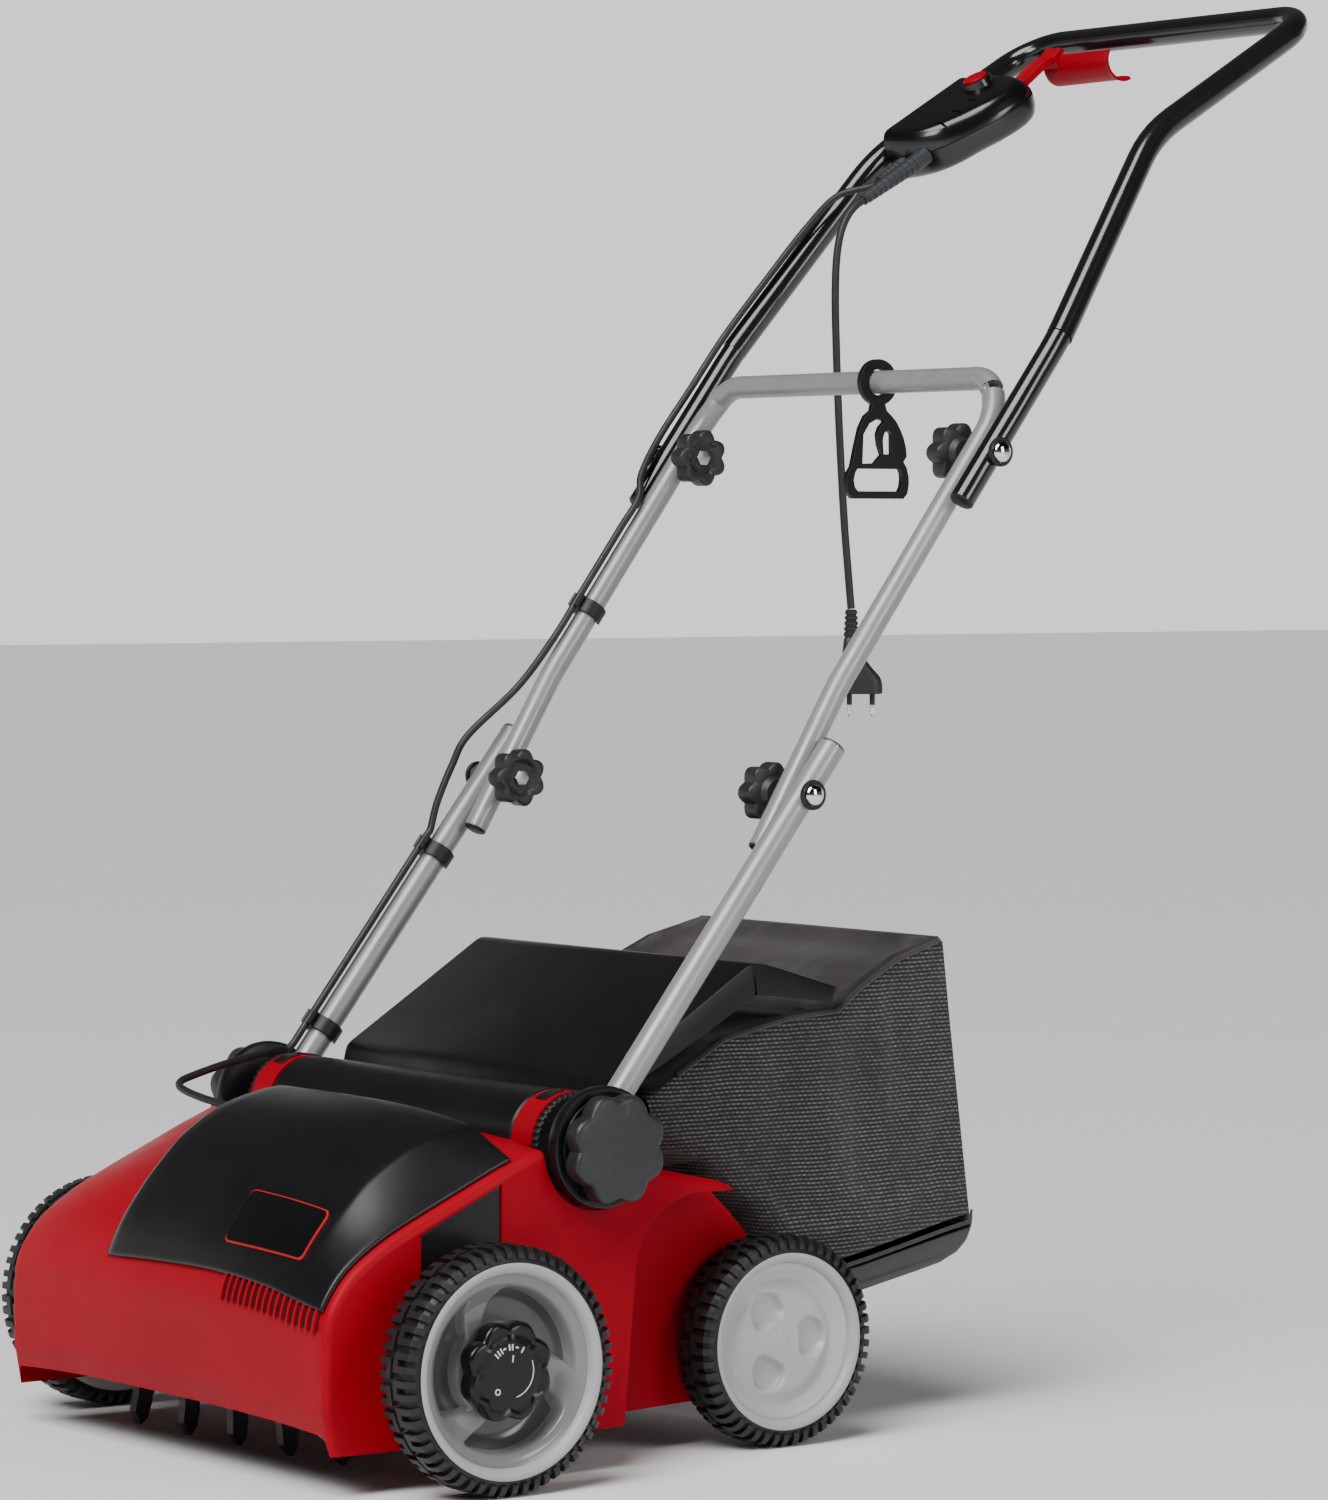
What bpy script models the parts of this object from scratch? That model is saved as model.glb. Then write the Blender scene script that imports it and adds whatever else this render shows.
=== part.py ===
"""Electric lawn dethatcher: red hood on four wheels, tine roller, folding handle and grass bag.

Metres, +Z up, front towards -Y, +X is the machine's left side. Sizes below are given from the
front axle, and the "machine" empty moves the whole design so that its origin is central.
"""
import math

import bmesh
import bpy
from mathutils import Matrix, Vector

# ---- driving dimensions -------------------------------------------------------------------
FRAME_Y = -0.3762             # front axle in the part's own frame
GAP = 0.0005                  # clearance between neighbouring pieces

FRONT_R = 0.090               # front wheel
FRONT_RIM_R = 0.0789
FRONT_IN_X = 0.2523
FRONT_OUT_X = 0.2937
REAR_R = 0.0797               # rear wheel
REAR_RIM_R = 0.0673
REAR_IN_X = 0.1840
REAR_OUT_X = 0.2240
REAR_AXLE_Y = 0.2979

DECK_HALF = 0.2264            # hood
DECK_WALL = 0.0030
NARROW_HALF = 0.1800          # hood between the rear wheels
PIVOT_Y = 0.120               # handle pivot, also the axis of the cross cover
PIVOT_Z = 0.238
CROSS_R = 0.038
CROSS_HALF = 0.1675
BOSS_IN_X = 0.1960
BOSS_OUT_X = 0.2022

COVER_LEFT_X = -0.078         # motor cover, from one side of the hood to near its +X rim
COVER_RIGHT_X = 0.2120

ROLLER_Y = -0.045             # tine roller
ROLLER_Z = 0.0520
TINE_R = 0.0490
MOTOR_Y = 0.020
MOTOR_Z = 0.160
MOTOR_R = 0.042
BELT_X = 0.150

LOWER_X = 0.2135              # handle tubes
LOWER_R = 0.0105
MID_X = 0.1926
MID_R = 0.00925
UPPER_X = 0.2128
UPPER_R = 0.0100
TUBE_WALL = 0.0015
P1 = (0.3177, 0.4901)         # lower fold, (y, z)
P2 = (0.4985, 0.7488)         # upper fold
MID_BEND = (0.3660, 0.5700)
CROSSBAR = (0.5313, 0.8070)
UPPER_BEND = (0.6894, 1.0012)
UPPER_TOP = (0.8613, 1.1043)
UPPER_TOP_X = 0.1773
TUBE_SIDES = 10

DEPTH_TRAVEL = 0.012          # front wheels rise this far for the deepest setting

LOBE_POINTS = 4               # outline points for each lobe of a star knob

CORD_R = 0.00325
LEAD_R = 0.0030
LEAD_SEAT = 0.0034            # thickness of clip between a tube and the lead on it


# ---- materials ----------------------------------------------------------------------------
def material(name, colour, roughness, metallic=0.0):
    mat = bpy.data.materials.new(name)
    mat.use_nodes = True
    shader = mat.node_tree.nodes["Principled BSDF"]
    shader.inputs["Base Color"].default_value = (*colour, 1.0)
    shader.inputs["Roughness"].default_value = roughness
    shader.inputs["Metallic"].default_value = metallic
    return mat


# ---- scene helpers ------------------------------------------------------------------------
def clear_scene():
    for old in list(bpy.data.objects):
        bpy.data.objects.remove(old, do_unlink=True)


def add_object(name, bm, mat, pivot=(0, 0, 0), side=1, sharp=35):
    """Name, colour and place a mesh: side -1 mirrors it, and its origin goes to pivot."""
    if side < 0:
        bmesh.ops.scale(bm, vec=(-1, 1, 1), verts=bm.verts)
        pivot = (-pivot[0], pivot[1], pivot[2])
    bmesh.ops.recalc_face_normals(bm, faces=bm.faces)
    mesh = bpy.data.meshes.new(name)
    bm.to_mesh(mesh)
    bm.free()
    mesh.transform(Matrix.Translation(-Vector(pivot)))
    mesh.shade_smooth()
    mesh.set_sharp_from_angle(angle=math.radians(sharp))
    obj = bpy.data.objects.new(name, mesh)
    bpy.context.collection.objects.link(obj)
    obj.location = pivot
    obj.parent = MACHINE
    if mat is not None:
        mesh.materials.append(mat)
    return obj


def guide(name, bm):
    obj = add_object(name, bm, None)
    obj.hide_render = True
    obj.display_type = "WIRE"
    return obj


def boolean(target, tool, operation="DIFFERENCE"):
    step = target.modifiers.new(operation.lower(), "BOOLEAN")
    step.operation = operation
    step.solver = "EXACT"
    step.object = tool


def side_name(stem, side):
    return stem + ("_left" if side > 0 else "_right")


# ---- mesh helpers -------------------------------------------------------------------------
def loft(sections, bm=None):
    """Closed solid through equal rings of points."""
    bm = bm or bmesh.new()
    rings = [[bm.verts.new(p) for p in ring] for ring in sections]
    for a, b in zip(rings, rings[1:]):
        for i in range(len(a)):
            j = (i + 1) % len(a)
            bm.faces.new((a[i], a[j], b[j], b[i]))
    bm.faces.new(rings[0])
    bm.faces.new(rings[-1])
    return bm


def flat_faced(bm):
    """Split the bent faces of a curved solid, so that cuts through them stay exact."""
    bmesh.ops.triangulate(bm, faces=[face for face in bm.faces if len(face.verts) == 4])
    return bm


def prism(outline, x0, x1):
    """Solid with the same (y, z) outline from x0 to x1."""
    return loft([[(x, y, z) for y, z in outline] for x in (x0, x1)])


def block(low, high):
    corners = [(low[1], low[2]), (high[1], low[2]), (high[1], high[2]), (low[1], high[2])]
    return prism(corners, low[0], high[0])


def circle(y, z, radius, sides, turn=0.0):
    step = 2 * math.pi / sides
    return [(y + radius * math.cos(i * step + turn), z + radius * math.sin(i * step + turn))
            for i in range(sides)]


def lathe(profile, y, z, sides, turn=0.0):
    """Turn a closed (x, radius) outline about the line through (y, z) along X."""
    bm = bmesh.new()
    rings = []
    for x, radius in profile:
        if radius == 0:
            rings.append([bm.verts.new((x, y, z))])
        else:
            rings.append([bm.verts.new((x, a, b)) for a, b in circle(y, z, radius, sides, turn)])
    closed = all(radius > 0 for _, radius in profile)
    pairs = list(zip(rings, rings[1:])) + ([(rings[-1], rings[0])] if closed else [])
    for a, b in pairs:
        for i in range(sides):
            j = (i + 1) % sides
            corner = [a[i % len(a)], a[j % len(a)], b[j % len(b)], b[i % len(b)]]
            unique = list(dict.fromkeys(corner))
            if len(unique) > 2:
                bm.faces.new(unique)
    return bm


def rounded_path(corners, radii, step=math.radians(15)):
    """Polyline whose inner corners become arcs of the given radii."""
    points = [Vector(corners[0])]
    for before, corner, after, radius in zip(corners, corners[1:], corners[2:], radii):
        corner = Vector(corner)
        a = (Vector(before) - corner).normalized()
        b = (Vector(after) - corner).normalized()
        turn = math.pi - a.angle(b)
        back = radius * math.tan(turn / 2)
        start = corner + a * back
        centre = corner + (a + b).normalized() * radius / math.cos(turn / 2)
        count = max(2, math.ceil(turn / step))
        axis = (start - centre).cross(corner + b * back - centre).normalized()
        for i in range(count + 1):
            points.append(centre + Matrix.Rotation(turn * i / count, 3, axis) @ (start - centre))
    points.append(Vector(corners[-1]))
    return points


def sweep_rings(points, radius, sides):
    """Circles across a path, turned as little as possible from one to the next."""
    tangents = []
    for i, point in enumerate(points):
        before = points[max(i - 1, 0)]
        after = points[min(i + 1, len(points) - 1)]
        tangents.append(((point - before).normalized() + (after - point).normalized()).normalized())
    across = tangents[0].orthogonal().normalized()
    rings = []
    for point, tangent in zip(points, tangents):
        across = (across - tangent * across.dot(tangent)).normalized()
        other = tangent.cross(across)
        rings.append([point + radius * (math.cos(a) * across + math.sin(a) * other)
                      for a in (2 * math.pi * i / sides for i in range(sides))])
    return rings


def hollow_tube(points, radius, wall=TUBE_WALL, sides=TUBE_SIDES):
    bm = bmesh.new()
    skins = []
    for r in (radius, radius - wall):
        skins.append([[bm.verts.new(p) for p in ring] for ring in sweep_rings(points, r, sides)])
    for rings in skins:
        for a, b in zip(rings, rings[1:]):
            for i in range(sides):
                bm.faces.new((a[i], a[(i + 1) % sides], b[(i + 1) % sides], b[i]))
    outer, inner = skins
    for end in (0, -1):
        for i in range(sides):
            j = (i + 1) % sides
            bm.faces.new((outer[end][i], outer[end][j], inner[end][j], inner[end][i]))
    return bm


def smooth_points(route, spacing):
    """Even points along a smooth curve through the route's points."""
    knots = [Vector(p) for p in route]
    knots = [2 * knots[0] - knots[1]] + knots + [2 * knots[-1] - knots[-2]]
    dense = []
    for a, b, c, d in zip(knots, knots[1:], knots[2:], knots[3:]):
        for i in range(16):
            t = i / 16
            dense.append(0.5 * (2 * b + (c - a) * t + (2 * a - 5 * b + 4 * c - d) * t * t
                                + (3 * b - a - 3 * c + d) * t ** 3))
    dense.append(knots[-2])
    lengths = [0.0]
    for a, b in zip(dense, dense[1:]):
        lengths.append(lengths[-1] + (b - a).length)
    count = max(2, round(lengths[-1] / spacing))
    points = []
    k = 0
    for i in range(count + 1):
        wanted = lengths[-1] * i / count
        while k < len(dense) - 2 and lengths[k + 1] < wanted:
            k += 1
        share = (wanted - lengths[k]) / (lengths[k + 1] - lengths[k])
        points.append(dense[k].lerp(dense[k + 1], min(1.0, share)))
    return points


def cable(name, route, radius, spacing, mat, resolution):
    """Round cable on a curve with filled ends."""
    curve = bpy.data.curves.new(name, "CURVE")
    curve.dimensions = "3D"
    curve.bevel_depth = radius
    curve.bevel_resolution = resolution
    curve.use_fill_caps = True
    points = smooth_points(route, spacing)
    spline = curve.splines.new("POLY")
    spline.points.add(len(points) - 1)
    for slot, point in zip(spline.points, points):
        slot.co = (*point, 1.0)
    curve.materials.append(mat)
    obj = bpy.data.objects.new(name, curve)
    bpy.context.collection.objects.link(obj)
    obj.parent = MACHINE
    return obj


def lobed(y, z, radius, lobes, depth, points_per_lobe=LOBE_POINTS, turn=0.0):
    """Outline of a star knob: round lobes with scooped valleys between them."""
    count = lobes * points_per_lobe
    ring = []
    for i in range(count):
        angle = 2 * math.pi * i / count + turn
        valley = 0.5 - 0.5 * math.cos(lobes * (angle - turn))
        r = radius - depth * (1 - valley ** 0.6)
        ring.append((y + r * math.cos(angle), z + r * math.sin(angle)))
    return ring


def star_knob(y, z, x_base, x_face, radius, lobes, depth, stem_x, stem_r):
    """Lobed head from x_base to x_face, with a round collar and stud reaching stem_x."""
    count = lobes * LOBE_POINTS
    out = 1 if x_face > x_base else -1
    chamfer = 0.12 * radius
    rings = [(stem_x, circle(y, z, stem_r, count)),
             (x_base - out * 0.001, circle(y, z, stem_r, count)),
             (x_base - out * 0.001, circle(y, z, 0.55 * radius, count)),
             (x_base + out * 0.002, circle(y, z, 0.55 * radius, count)),
             (x_base + out * 0.002, lobed(y, z, radius - chamfer, lobes, depth)),
             (x_base + out * (0.002 + chamfer), lobed(y, z, radius, lobes, depth)),
             (x_face - out * chamfer, lobed(y, z, radius, lobes, depth)),
             (x_face, lobed(y, z, radius - chamfer, lobes, depth))]
    return loft([[(x, a, b) for a, b in ring] for x, ring in rings])


# ---- hood ---------------------------------------------------------------------------------
# (y, z) along the rim from the front lip over the top to the rear lip, and how far the middle
# of the hood bulges beyond the rim there
HOOD_TOP = [(-0.1134, 0.0303, 0.0), (-0.1150, 0.0700, 0.001), (-0.1150, 0.1050, 0.003),
            (-0.1120, 0.1280, 0.007), (-0.1010, 0.1470, 0.012), (-0.0860, 0.1620, 0.017),
            (-0.0620, 0.1775, 0.021), (-0.0350, 0.1905, 0.025), (0.0050, 0.2085, 0.025),
            (0.0450, 0.2265, 0.020), (0.0780, 0.2370, 0.008), (0.1190, 0.2250, 0.0),
            (0.1650, 0.2200, 0.0), (0.2050, 0.2110, 0.0), (0.2460, 0.1990, 0.0),
            (0.2900, 0.1570, 0.0), (0.3120, 0.1180, 0.0), (0.3180, 0.0800, 0.0),
            (0.3130, 0.0400, 0.0)]
HOOD_BELLY = [(0.2620, 0.0360), (0.1400, 0.0303)]
HOOD_STATIONS = (-1.0, -0.975, -0.86, -0.68, -0.36, 0.0, 0.36, 0.68, 0.86, 0.975, 1.0)
HOOD_EDGE_DROP = 0.004        # rounding of the rim at the outermost stations


def hood_normals():
    normals = []
    for i in range(len(HOOD_TOP)):
        a = HOOD_TOP[max(i - 1, 0)]
        b = HOOD_TOP[min(i + 1, len(HOOD_TOP) - 1)]
        along = Vector((b[0] - a[0], b[1] - a[1])).normalized()
        normals.append(Vector((-along.y, along.x)))
    return normals


def hood_section(share, offset):
    """Top line of the hood at a share of its half width, moved out by offset."""
    bulge_share = 1 - abs(share) ** 3
    edge = HOOD_EDGE_DROP if abs(share) > 0.99 else 0.0
    line = []
    for (y, z, bulge), normal in zip(HOOD_TOP, hood_normals()):
        shift = bulge * bulge_share + offset - edge
        line.append((y + normal.x * shift, z + normal.y * shift))
    return line


def hood_solid(inset):
    """Whole hood as a solid; inset makes the hollow inside it, which runs out below."""
    half = DECK_HALF - inset
    sections = []
    for share in HOOD_STATIONS:
        line = hood_section(share, -inset)
        if inset > 0:
            line[0] = (line[1][0], -0.02)
            line[-1] = (line[-2][0], -0.02)
            belly = []
        else:
            belly = HOOD_BELLY
        sections.append([(share * half, y, z) for y, z in line + belly])
    return flat_faced(loft(sections))


def wheel_well(x_in, grow):
    """Space for a rear wheel, from x_in outwards."""
    arc_y, arc_z, arc_r = 0.214, 0.138, 0.060 + grow
    arc = [(arc_y + arc_r * math.cos(a), arc_z + arc_r * math.sin(a))
           for a in (math.radians(90 + 15 * i) for i in range(7))]
    outline = [(0.40, -0.03), (0.40, arc_z + arc_r)] + arc + [(0.139 - grow, -0.03)]
    return prism(outline, x_in, 0.30)


def arch_under_front():
    """Shallow arch in the front lip."""
    chord, rise = 0.190, 0.016
    count = 10
    top = [(-chord + 2 * chord * i / count,
            0.0300 + rise * math.sin(math.pi * i / count)) for i in range(count + 1)]
    sections = []
    for y in (-0.16, -0.095):
        sections.append([(x, y, z) for x, z in [(-chord, -0.01)] + top + [(chord, -0.01)]])
    return loft(sections)


def notch_outline(radius):
    """Round-bottomed slot that lets the handle's foot swing."""
    arc = [(PIVOT_Y + radius * math.cos(a), PIVOT_Z + radius * math.sin(a))
           for a in (math.radians(180 + 15 * i) for i in range(13))]
    return [(PIVOT_Y - radius - 0.001, 0.31)] + arc + [(PIVOT_Y + radius + 0.001, 0.31)]


def window_outline(grow):
    return [(-0.034 - grow, 0.125 - grow), (0.036 + grow, 0.125 - grow),
            (0.036 + grow, 0.2155 + 1.2 * grow), (-0.034 - grow, 0.1835 + 0.8 * grow)]


def build_hood(red):
    hood = add_object("deck_housing", hood_solid(0.0), red)
    hollow = guide("cut_hollow", hood_solid(DECK_WALL))
    for side in (1, -1):
        tag = side_name("", side)
        for name, shape in (("cut_keep_well", wheel_well(NARROW_HALF - DECK_WALL, DECK_WALL)),
                            ("cut_keep_pivot", block((0.1600, 0.0660, 0.1860),
                                                     (0.30, 0.1740, 0.32)))):
            if side < 0:
                bmesh.ops.scale(shape, vec=(-1, 1, 1), verts=shape.verts)
            boolean(hollow, guide(name + tag, shape))
    boolean(hood, hollow)
    cuts = [("cut_trough", prism(circle(PIVOT_Y, PIVOT_Z, CROSS_R + GAP, 28),
                                 -CROSS_HALF - GAP, CROSS_HALF + GAP)),
            ("cut_front_arch", arch_under_front()),
            ("cut_motor_opening", block((-0.060, -0.070, 0.155), (0.105, 0.045, 0.30))),
            ("cut_outlet", block((-0.150, 0.178, 0.120), (0.150, 0.285, 0.24))),
            ("cut_rear_axle", prism(circle(REAR_AXLE_Y, REAR_R, 0.0056, 16), -0.30, 0.30))]
    for side in (1, -1):
        tag = side_name("", side)
        slot = [(-0.0075, 0.082), (0.0075, 0.082), (0.0075, 0.111), (-0.0075, 0.111)]
        for name, shape in (("cut_well", wheel_well(NARROW_HALF, 0.0)),
                            ("cut_notch", prism(notch_outline(0.0470), BOSS_IN_X, 0.30)),
                            ("cut_window", prism(window_outline(0.0), 0.215, 0.24)),
                            ("cut_slot", prism(slot, 0.215, 0.24))):
            if side < 0:
                bmesh.ops.scale(shape, vec=(-1, 1, 1), verts=shape.verts)
            cuts.append((name + tag, shape))
    for name, shape in cuts:
        boolean(hood, guide(name, shape))
    for side in (1, -1):
        band = prism(circle(PIVOT_Y, PIVOT_Z, CROSS_R, 24, 0.07), CROSS_HALF + 0.0020,
                     BOSS_IN_X - 0.0002)
        if side < 0:
            bmesh.ops.scale(band, vec=(-1, 1, 1), verts=band.verts)
        boolean(hood, guide(side_name("join_band", side), band), "UNION")


def build_side_inserts(black):
    for side in (1, -1):
        bm = prism(window_outline(-0.0005), 0.2195, 0.2250)
        add_object(side_name("side_insert", side), bm, black, side=side)


# ---- motor cover --------------------------------------------------------------------------
COVER_FIRST = 4               # first and last stations of HOOD_TOP under the cover
COVER_LAST = 9
# height over the hood at the stations from one before the first to one after the last
COVER_RISE = (0.0040, 0.0045, 0.0080, 0.0160, 0.0235, 0.0275, 0.0225, 0.0140)
COVER_RIGHT_RISE = 0.0045     # the same at the +X edge, beyond the shoulder
COVER_SHOULDER_X = 0.178
COVER_SEAT = 0.0018
COVER_WALL = 0.0025
COVER_COLUMNS = (COVER_LEFT_X, COVER_LEFT_X + 0.008, -0.03, 0.03, 0.09, 0.13, COVER_SHOULDER_X,
                 0.189, 0.200, COVER_RIGHT_X)
COVER_HOLLOW_COLUMNS = (COVER_LEFT_X + COVER_WALL, COVER_LEFT_X + 0.010, 0.0, 0.06, 0.10, 0.14,
                        0.17, 0.178)
COVER_END_SHARE = 0.72        # rounding of the -X end
COVER_END_CLEARANCE = 0.007   # how much lower the hollow starts at the -X end
COVER_REACH = 0.020           # how far the cut of the hollow runs below the hood's skin
BADGE_LIFT = 0.0006
BADGE_THICK = 0.0018


def cover_lifts(x, extra=0.0):
    """Heights of the cover over the hood at x, which fall at the shoulder near the rim."""
    fall = max(0.0, (x - COVER_SHOULDER_X) / (COVER_RIGHT_X - COVER_SHOULDER_X)) ** 0.6
    end = COVER_END_SHARE if x == COVER_LEFT_X else 1.0
    return [max(COVER_RIGHT_RISE, (rise - (rise - COVER_RIGHT_RISE) * fall) * end) + extra
            for rise in COVER_RISE]


def cover_line(x, lifts):
    """Line across the cover from its front edge to its rear edge."""
    skin = hood_section(x / DECK_HALF, 0.0)
    normals = hood_normals()
    first = COVER_FIRST - 1
    whole = [Vector(skin[first + i]) + normals[first + i] * lift for i, lift in enumerate(lifts)]
    line = whole[1:-1]
    line[0] = whole[0].lerp(line[0], 0.75)
    line[-1] = line[-1].lerp(whole[-1], 0.15)
    return line


def build_motor_cover(black):
    sections = []
    for x in COVER_COLUMNS:
        seat = [COVER_SEAT] * len(COVER_RISE)
        loop = cover_line(x, cover_lifts(x)) + cover_line(x, seat)[::-1]
        sections.append([(x, *spot) for spot in loop])
    cover = add_object("motor_cover", flat_faced(loft(sections)), black)
    sections = []
    for x in COVER_HOLLOW_COLUMNS:
        end = COVER_END_CLEARANCE if x == COVER_HOLLOW_COLUMNS[0] else 0.0
        top = cover_line(x, cover_lifts(x, -COVER_WALL - end))
        foot = cover_line(x, [-COVER_REACH] * len(COVER_RISE))
        for line in (top, foot):
            line[0] = line[0] + Vector((0.004, 0.004))
            line[-1] = line[-1] - Vector((0.004, 0.001))
        sections.append([(x, *spot) for spot in top + foot[::-1]])
    boolean(cover, guide("cut_cover_hollow", flat_faced(loft(sections))))


def cover_top(x, extra):
    """Line on the cover's skin, which runs straight from one column to the next."""
    for a, b in zip(COVER_COLUMNS, COVER_COLUMNS[1:]):
        if a <= x <= b:
            share = (x - a) / (b - a)
            pairs = zip(cover_line(a, cover_lifts(a, extra)), cover_line(b, cover_lifts(b, extra)))
            return [p.lerp(q, share) for p, q in pairs]


def build_badge(black):
    """Blank plate that follows the front of the cover."""
    rings = []
    for x in (0.0790, 0.0900, 0.1300, 0.1775):
        sides = []
        for extra in (BADGE_LIFT, BADGE_LIFT + BADGE_THICK):
            line = cover_top(x, extra)
            sides.append([line[0].lerp(line[1], 0.64), line[1], line[1].lerp(line[2], 0.85)])
        rings.append([(x, *spot) for spot in sides[0] + sides[1][::-1]])
    add_object("cover_badge", flat_faced(loft(rings)), black)


# ---- cross cover and pivots ---------------------------------------------------------------
def build_pivots(black, grey):
    tube = [(-CROSS_HALF, CROSS_R - 0.003), (-CROSS_HALF, CROSS_R - 0.001),
            (-CROSS_HALF + 0.002, CROSS_R), (CROSS_HALF - 0.002, CROSS_R),
            (CROSS_HALF, CROSS_R - 0.001), (CROSS_HALF, CROSS_R - 0.003)]
    add_object("cross_cover", lathe(tube, PIVOT_Y, PIVOT_Z, 28), black)
    stud_r = 0.0045
    for side in (1, -1):
        boss = [(BOSS_IN_X + 0.0003, stud_r), (BOSS_IN_X + 0.0003, CROSS_R - 0.0005),
                (BOSS_OUT_X - 0.001, CROSS_R - 0.0005), (BOSS_OUT_X, CROSS_R - 0.0015),
                (BOSS_OUT_X, stud_r)]
        add_object(side_name("pivot_boss", side), lathe(boss, PIVOT_Y, PIVOT_Z, 20), black, side=side)
        washer = [(0.2267, stud_r), (0.2267, 0.0430), (0.2285, 0.0448), (0.2362, 0.0448),
                  (0.2380, 0.0435), (0.2380, stud_r)]
        add_object(side_name("pivot_washer", side), lathe(washer, PIVOT_Y, PIVOT_Z, 24), black,
                   pivot=(0, PIVOT_Y, PIVOT_Z), side=side)
        knob = star_knob(PIVOT_Y, PIVOT_Z, 0.2400, 0.2590, 0.0415, 8, 0.0050, 0.1985, 0.0040)
        add_object(side_name("pivot_knob", side), knob, grey, pivot=(0, PIVOT_Y, PIVOT_Z), side=side)


# ---- motor, belt and roller ---------------------------------------------------------------
def build_drive(dark, steel, rubber, alloy):
    body = [(-0.050, 0), (-0.050, 0.030), (-0.042, MOTOR_R), (0.088, MOTOR_R), (0.096, 0.034),
            (0.118, 0.016), (0.118, 0)]
    motor = add_object("motor", lathe(body, MOTOR_Y, MOTOR_Z, 20), dark)
    bore = [(0.100, 0), (0.100, 0.0064), (0.130, 0.0064), (0.130, 0)]
    boolean(motor, guide("cut_motor_bore", lathe(bore, MOTOR_Y, MOTOR_Z, 16)))
    pulley = [(0.1010, 0), (0.1010, 0.006), (0.140, 0.006), (0.140, 0.016), (0.143, 0.016),
              (0.144, 0.013), (0.156, 0.013), (0.157, 0.016), (0.160, 0.016), (0.160, 0)]
    add_object("motor_pulley", lathe(pulley, MOTOR_Y, MOTOR_Z, 20), steel,
               pivot=(0, MOTOR_Y, MOTOR_Z))
    build_belt(rubber)
    build_roller(steel)
    pulley = [(0.1400, 0.0064), (0.140, 0.030), (0.143, 0.030), (0.144, 0.027), (0.156, 0.027),
              (0.157, 0.030), (0.160, 0.030), (0.160, 0.0064)]
    add_object("roller_pulley", lathe(pulley, ROLLER_Y, ROLLER_Z, 24), alloy,
               pivot=(0, ROLLER_Y, ROLLER_Z))
    for side in (1, -1):
        outline = [(ROLLER_Y - 0.022, 0.036), (ROLLER_Y + 0.022, 0.036), (ROLLER_Y + 0.022, 0.178),
                   (ROLLER_Y - 0.022, 0.166)]
        plate = prism(outline, 0.1680, 0.1760)
        bearing = add_object(side_name("roller_bearing", side), plate, alloy, side=side)
        hole = prism(circle(ROLLER_Y, ROLLER_Z, 0.0066, 16), 0.15, 0.19)
        if side < 0:
            bmesh.ops.scale(hole, vec=(-1, 1, 1), verts=hole.verts)
        boolean(bearing, guide(side_name("cut_bearing", side), hole))


def belt_loop(small_r, big_r):
    """Outline of a belt round the two pulleys."""
    small = Vector((MOTOR_Y, MOTOR_Z))
    big = Vector((ROLLER_Y, ROLLER_Z))
    line = small - big
    lean = math.atan2(line.y, line.x)
    open_angle = math.acos((big_r - small_r) / line.length)
    points = []
    for centre, radius, start, sweep in ((small, small_r, -open_angle, 2 * open_angle),
                                         (big, big_r, open_angle, 2 * (math.pi - open_angle))):
        for i in range(13):
            angle = lean + start + sweep * i / 12
            points.append((centre.x + radius * math.cos(angle), centre.y + radius * math.sin(angle)))
    return points


def build_belt(rubber):
    bm = bmesh.new()
    rings = []
    for x, small_r, big_r in ((0.1450, 0.0135, 0.0275), (0.1450, 0.0165, 0.0305),
                              (0.1550, 0.0165, 0.0305), (0.1550, 0.0135, 0.0275)):
        rings.append([bm.verts.new((x, y, z)) for y, z in belt_loop(small_r, big_r)])
    for a, b in zip(rings, rings[1:] + rings[:1]):
        for i in range(len(a)):
            j = (i + 1) % len(a)
            bm.faces.new((a[i], a[j], b[j], b[i]))
    add_object("drive_belt", bm, rubber)


def tine_disc(x, turn):
    """Plate with three hooked claws, across the shaft at x."""
    claws = 3
    outline = []
    for k in range(claws):
        base = turn + 2 * math.pi * k / claws
        for angle, radius in ((-0.62, 0.014), (-0.30, 0.028), (-0.24, 0.040), (-0.06, TINE_R),
                              (0.05, 0.043), (0.16, 0.030), (0.30, 0.0138)):
            outline.append((ROLLER_Y + radius * math.cos(base + angle),
                            ROLLER_Z + radius * math.sin(base + angle)))
    return prism(outline, x - 0.0045, x + 0.0045)


def build_roller(steel):
    shaft = [(-0.182, 0), (-0.182, 0.006), (-0.1650, 0.006), (-0.1650, 0.010), (0.1360, 0.010),
             (0.1360, 0.006), (0.182, 0.006), (0.182, 0)]
    roller = add_object("tine_roller", lathe(shaft, ROLLER_Y, ROLLER_Z, 16), steel,
                        pivot=(0, ROLLER_Y, ROLLER_Z))
    count = 5
    for i in range(count):
        x = -0.1390 + 0.0650 * i
        disc = guide("join_tines_%d" % i, tine_disc(x, math.radians(-97 + 6 * i)))
        boolean(roller, disc, "UNION")


# ---- wheels -------------------------------------------------------------------------------
def tyre_profile(x_in, x_out, r_in, r_out):
    edge = 0.005
    return [(x_in, r_in), (x_in, r_out - edge), (x_in + 0.003, r_out - 0.0012),
            (x_in + edge, r_out), (x_out - edge, r_out), (x_out - 0.003, r_out - 0.0012),
            (x_out, r_out - edge), (x_out, r_in)]


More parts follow.
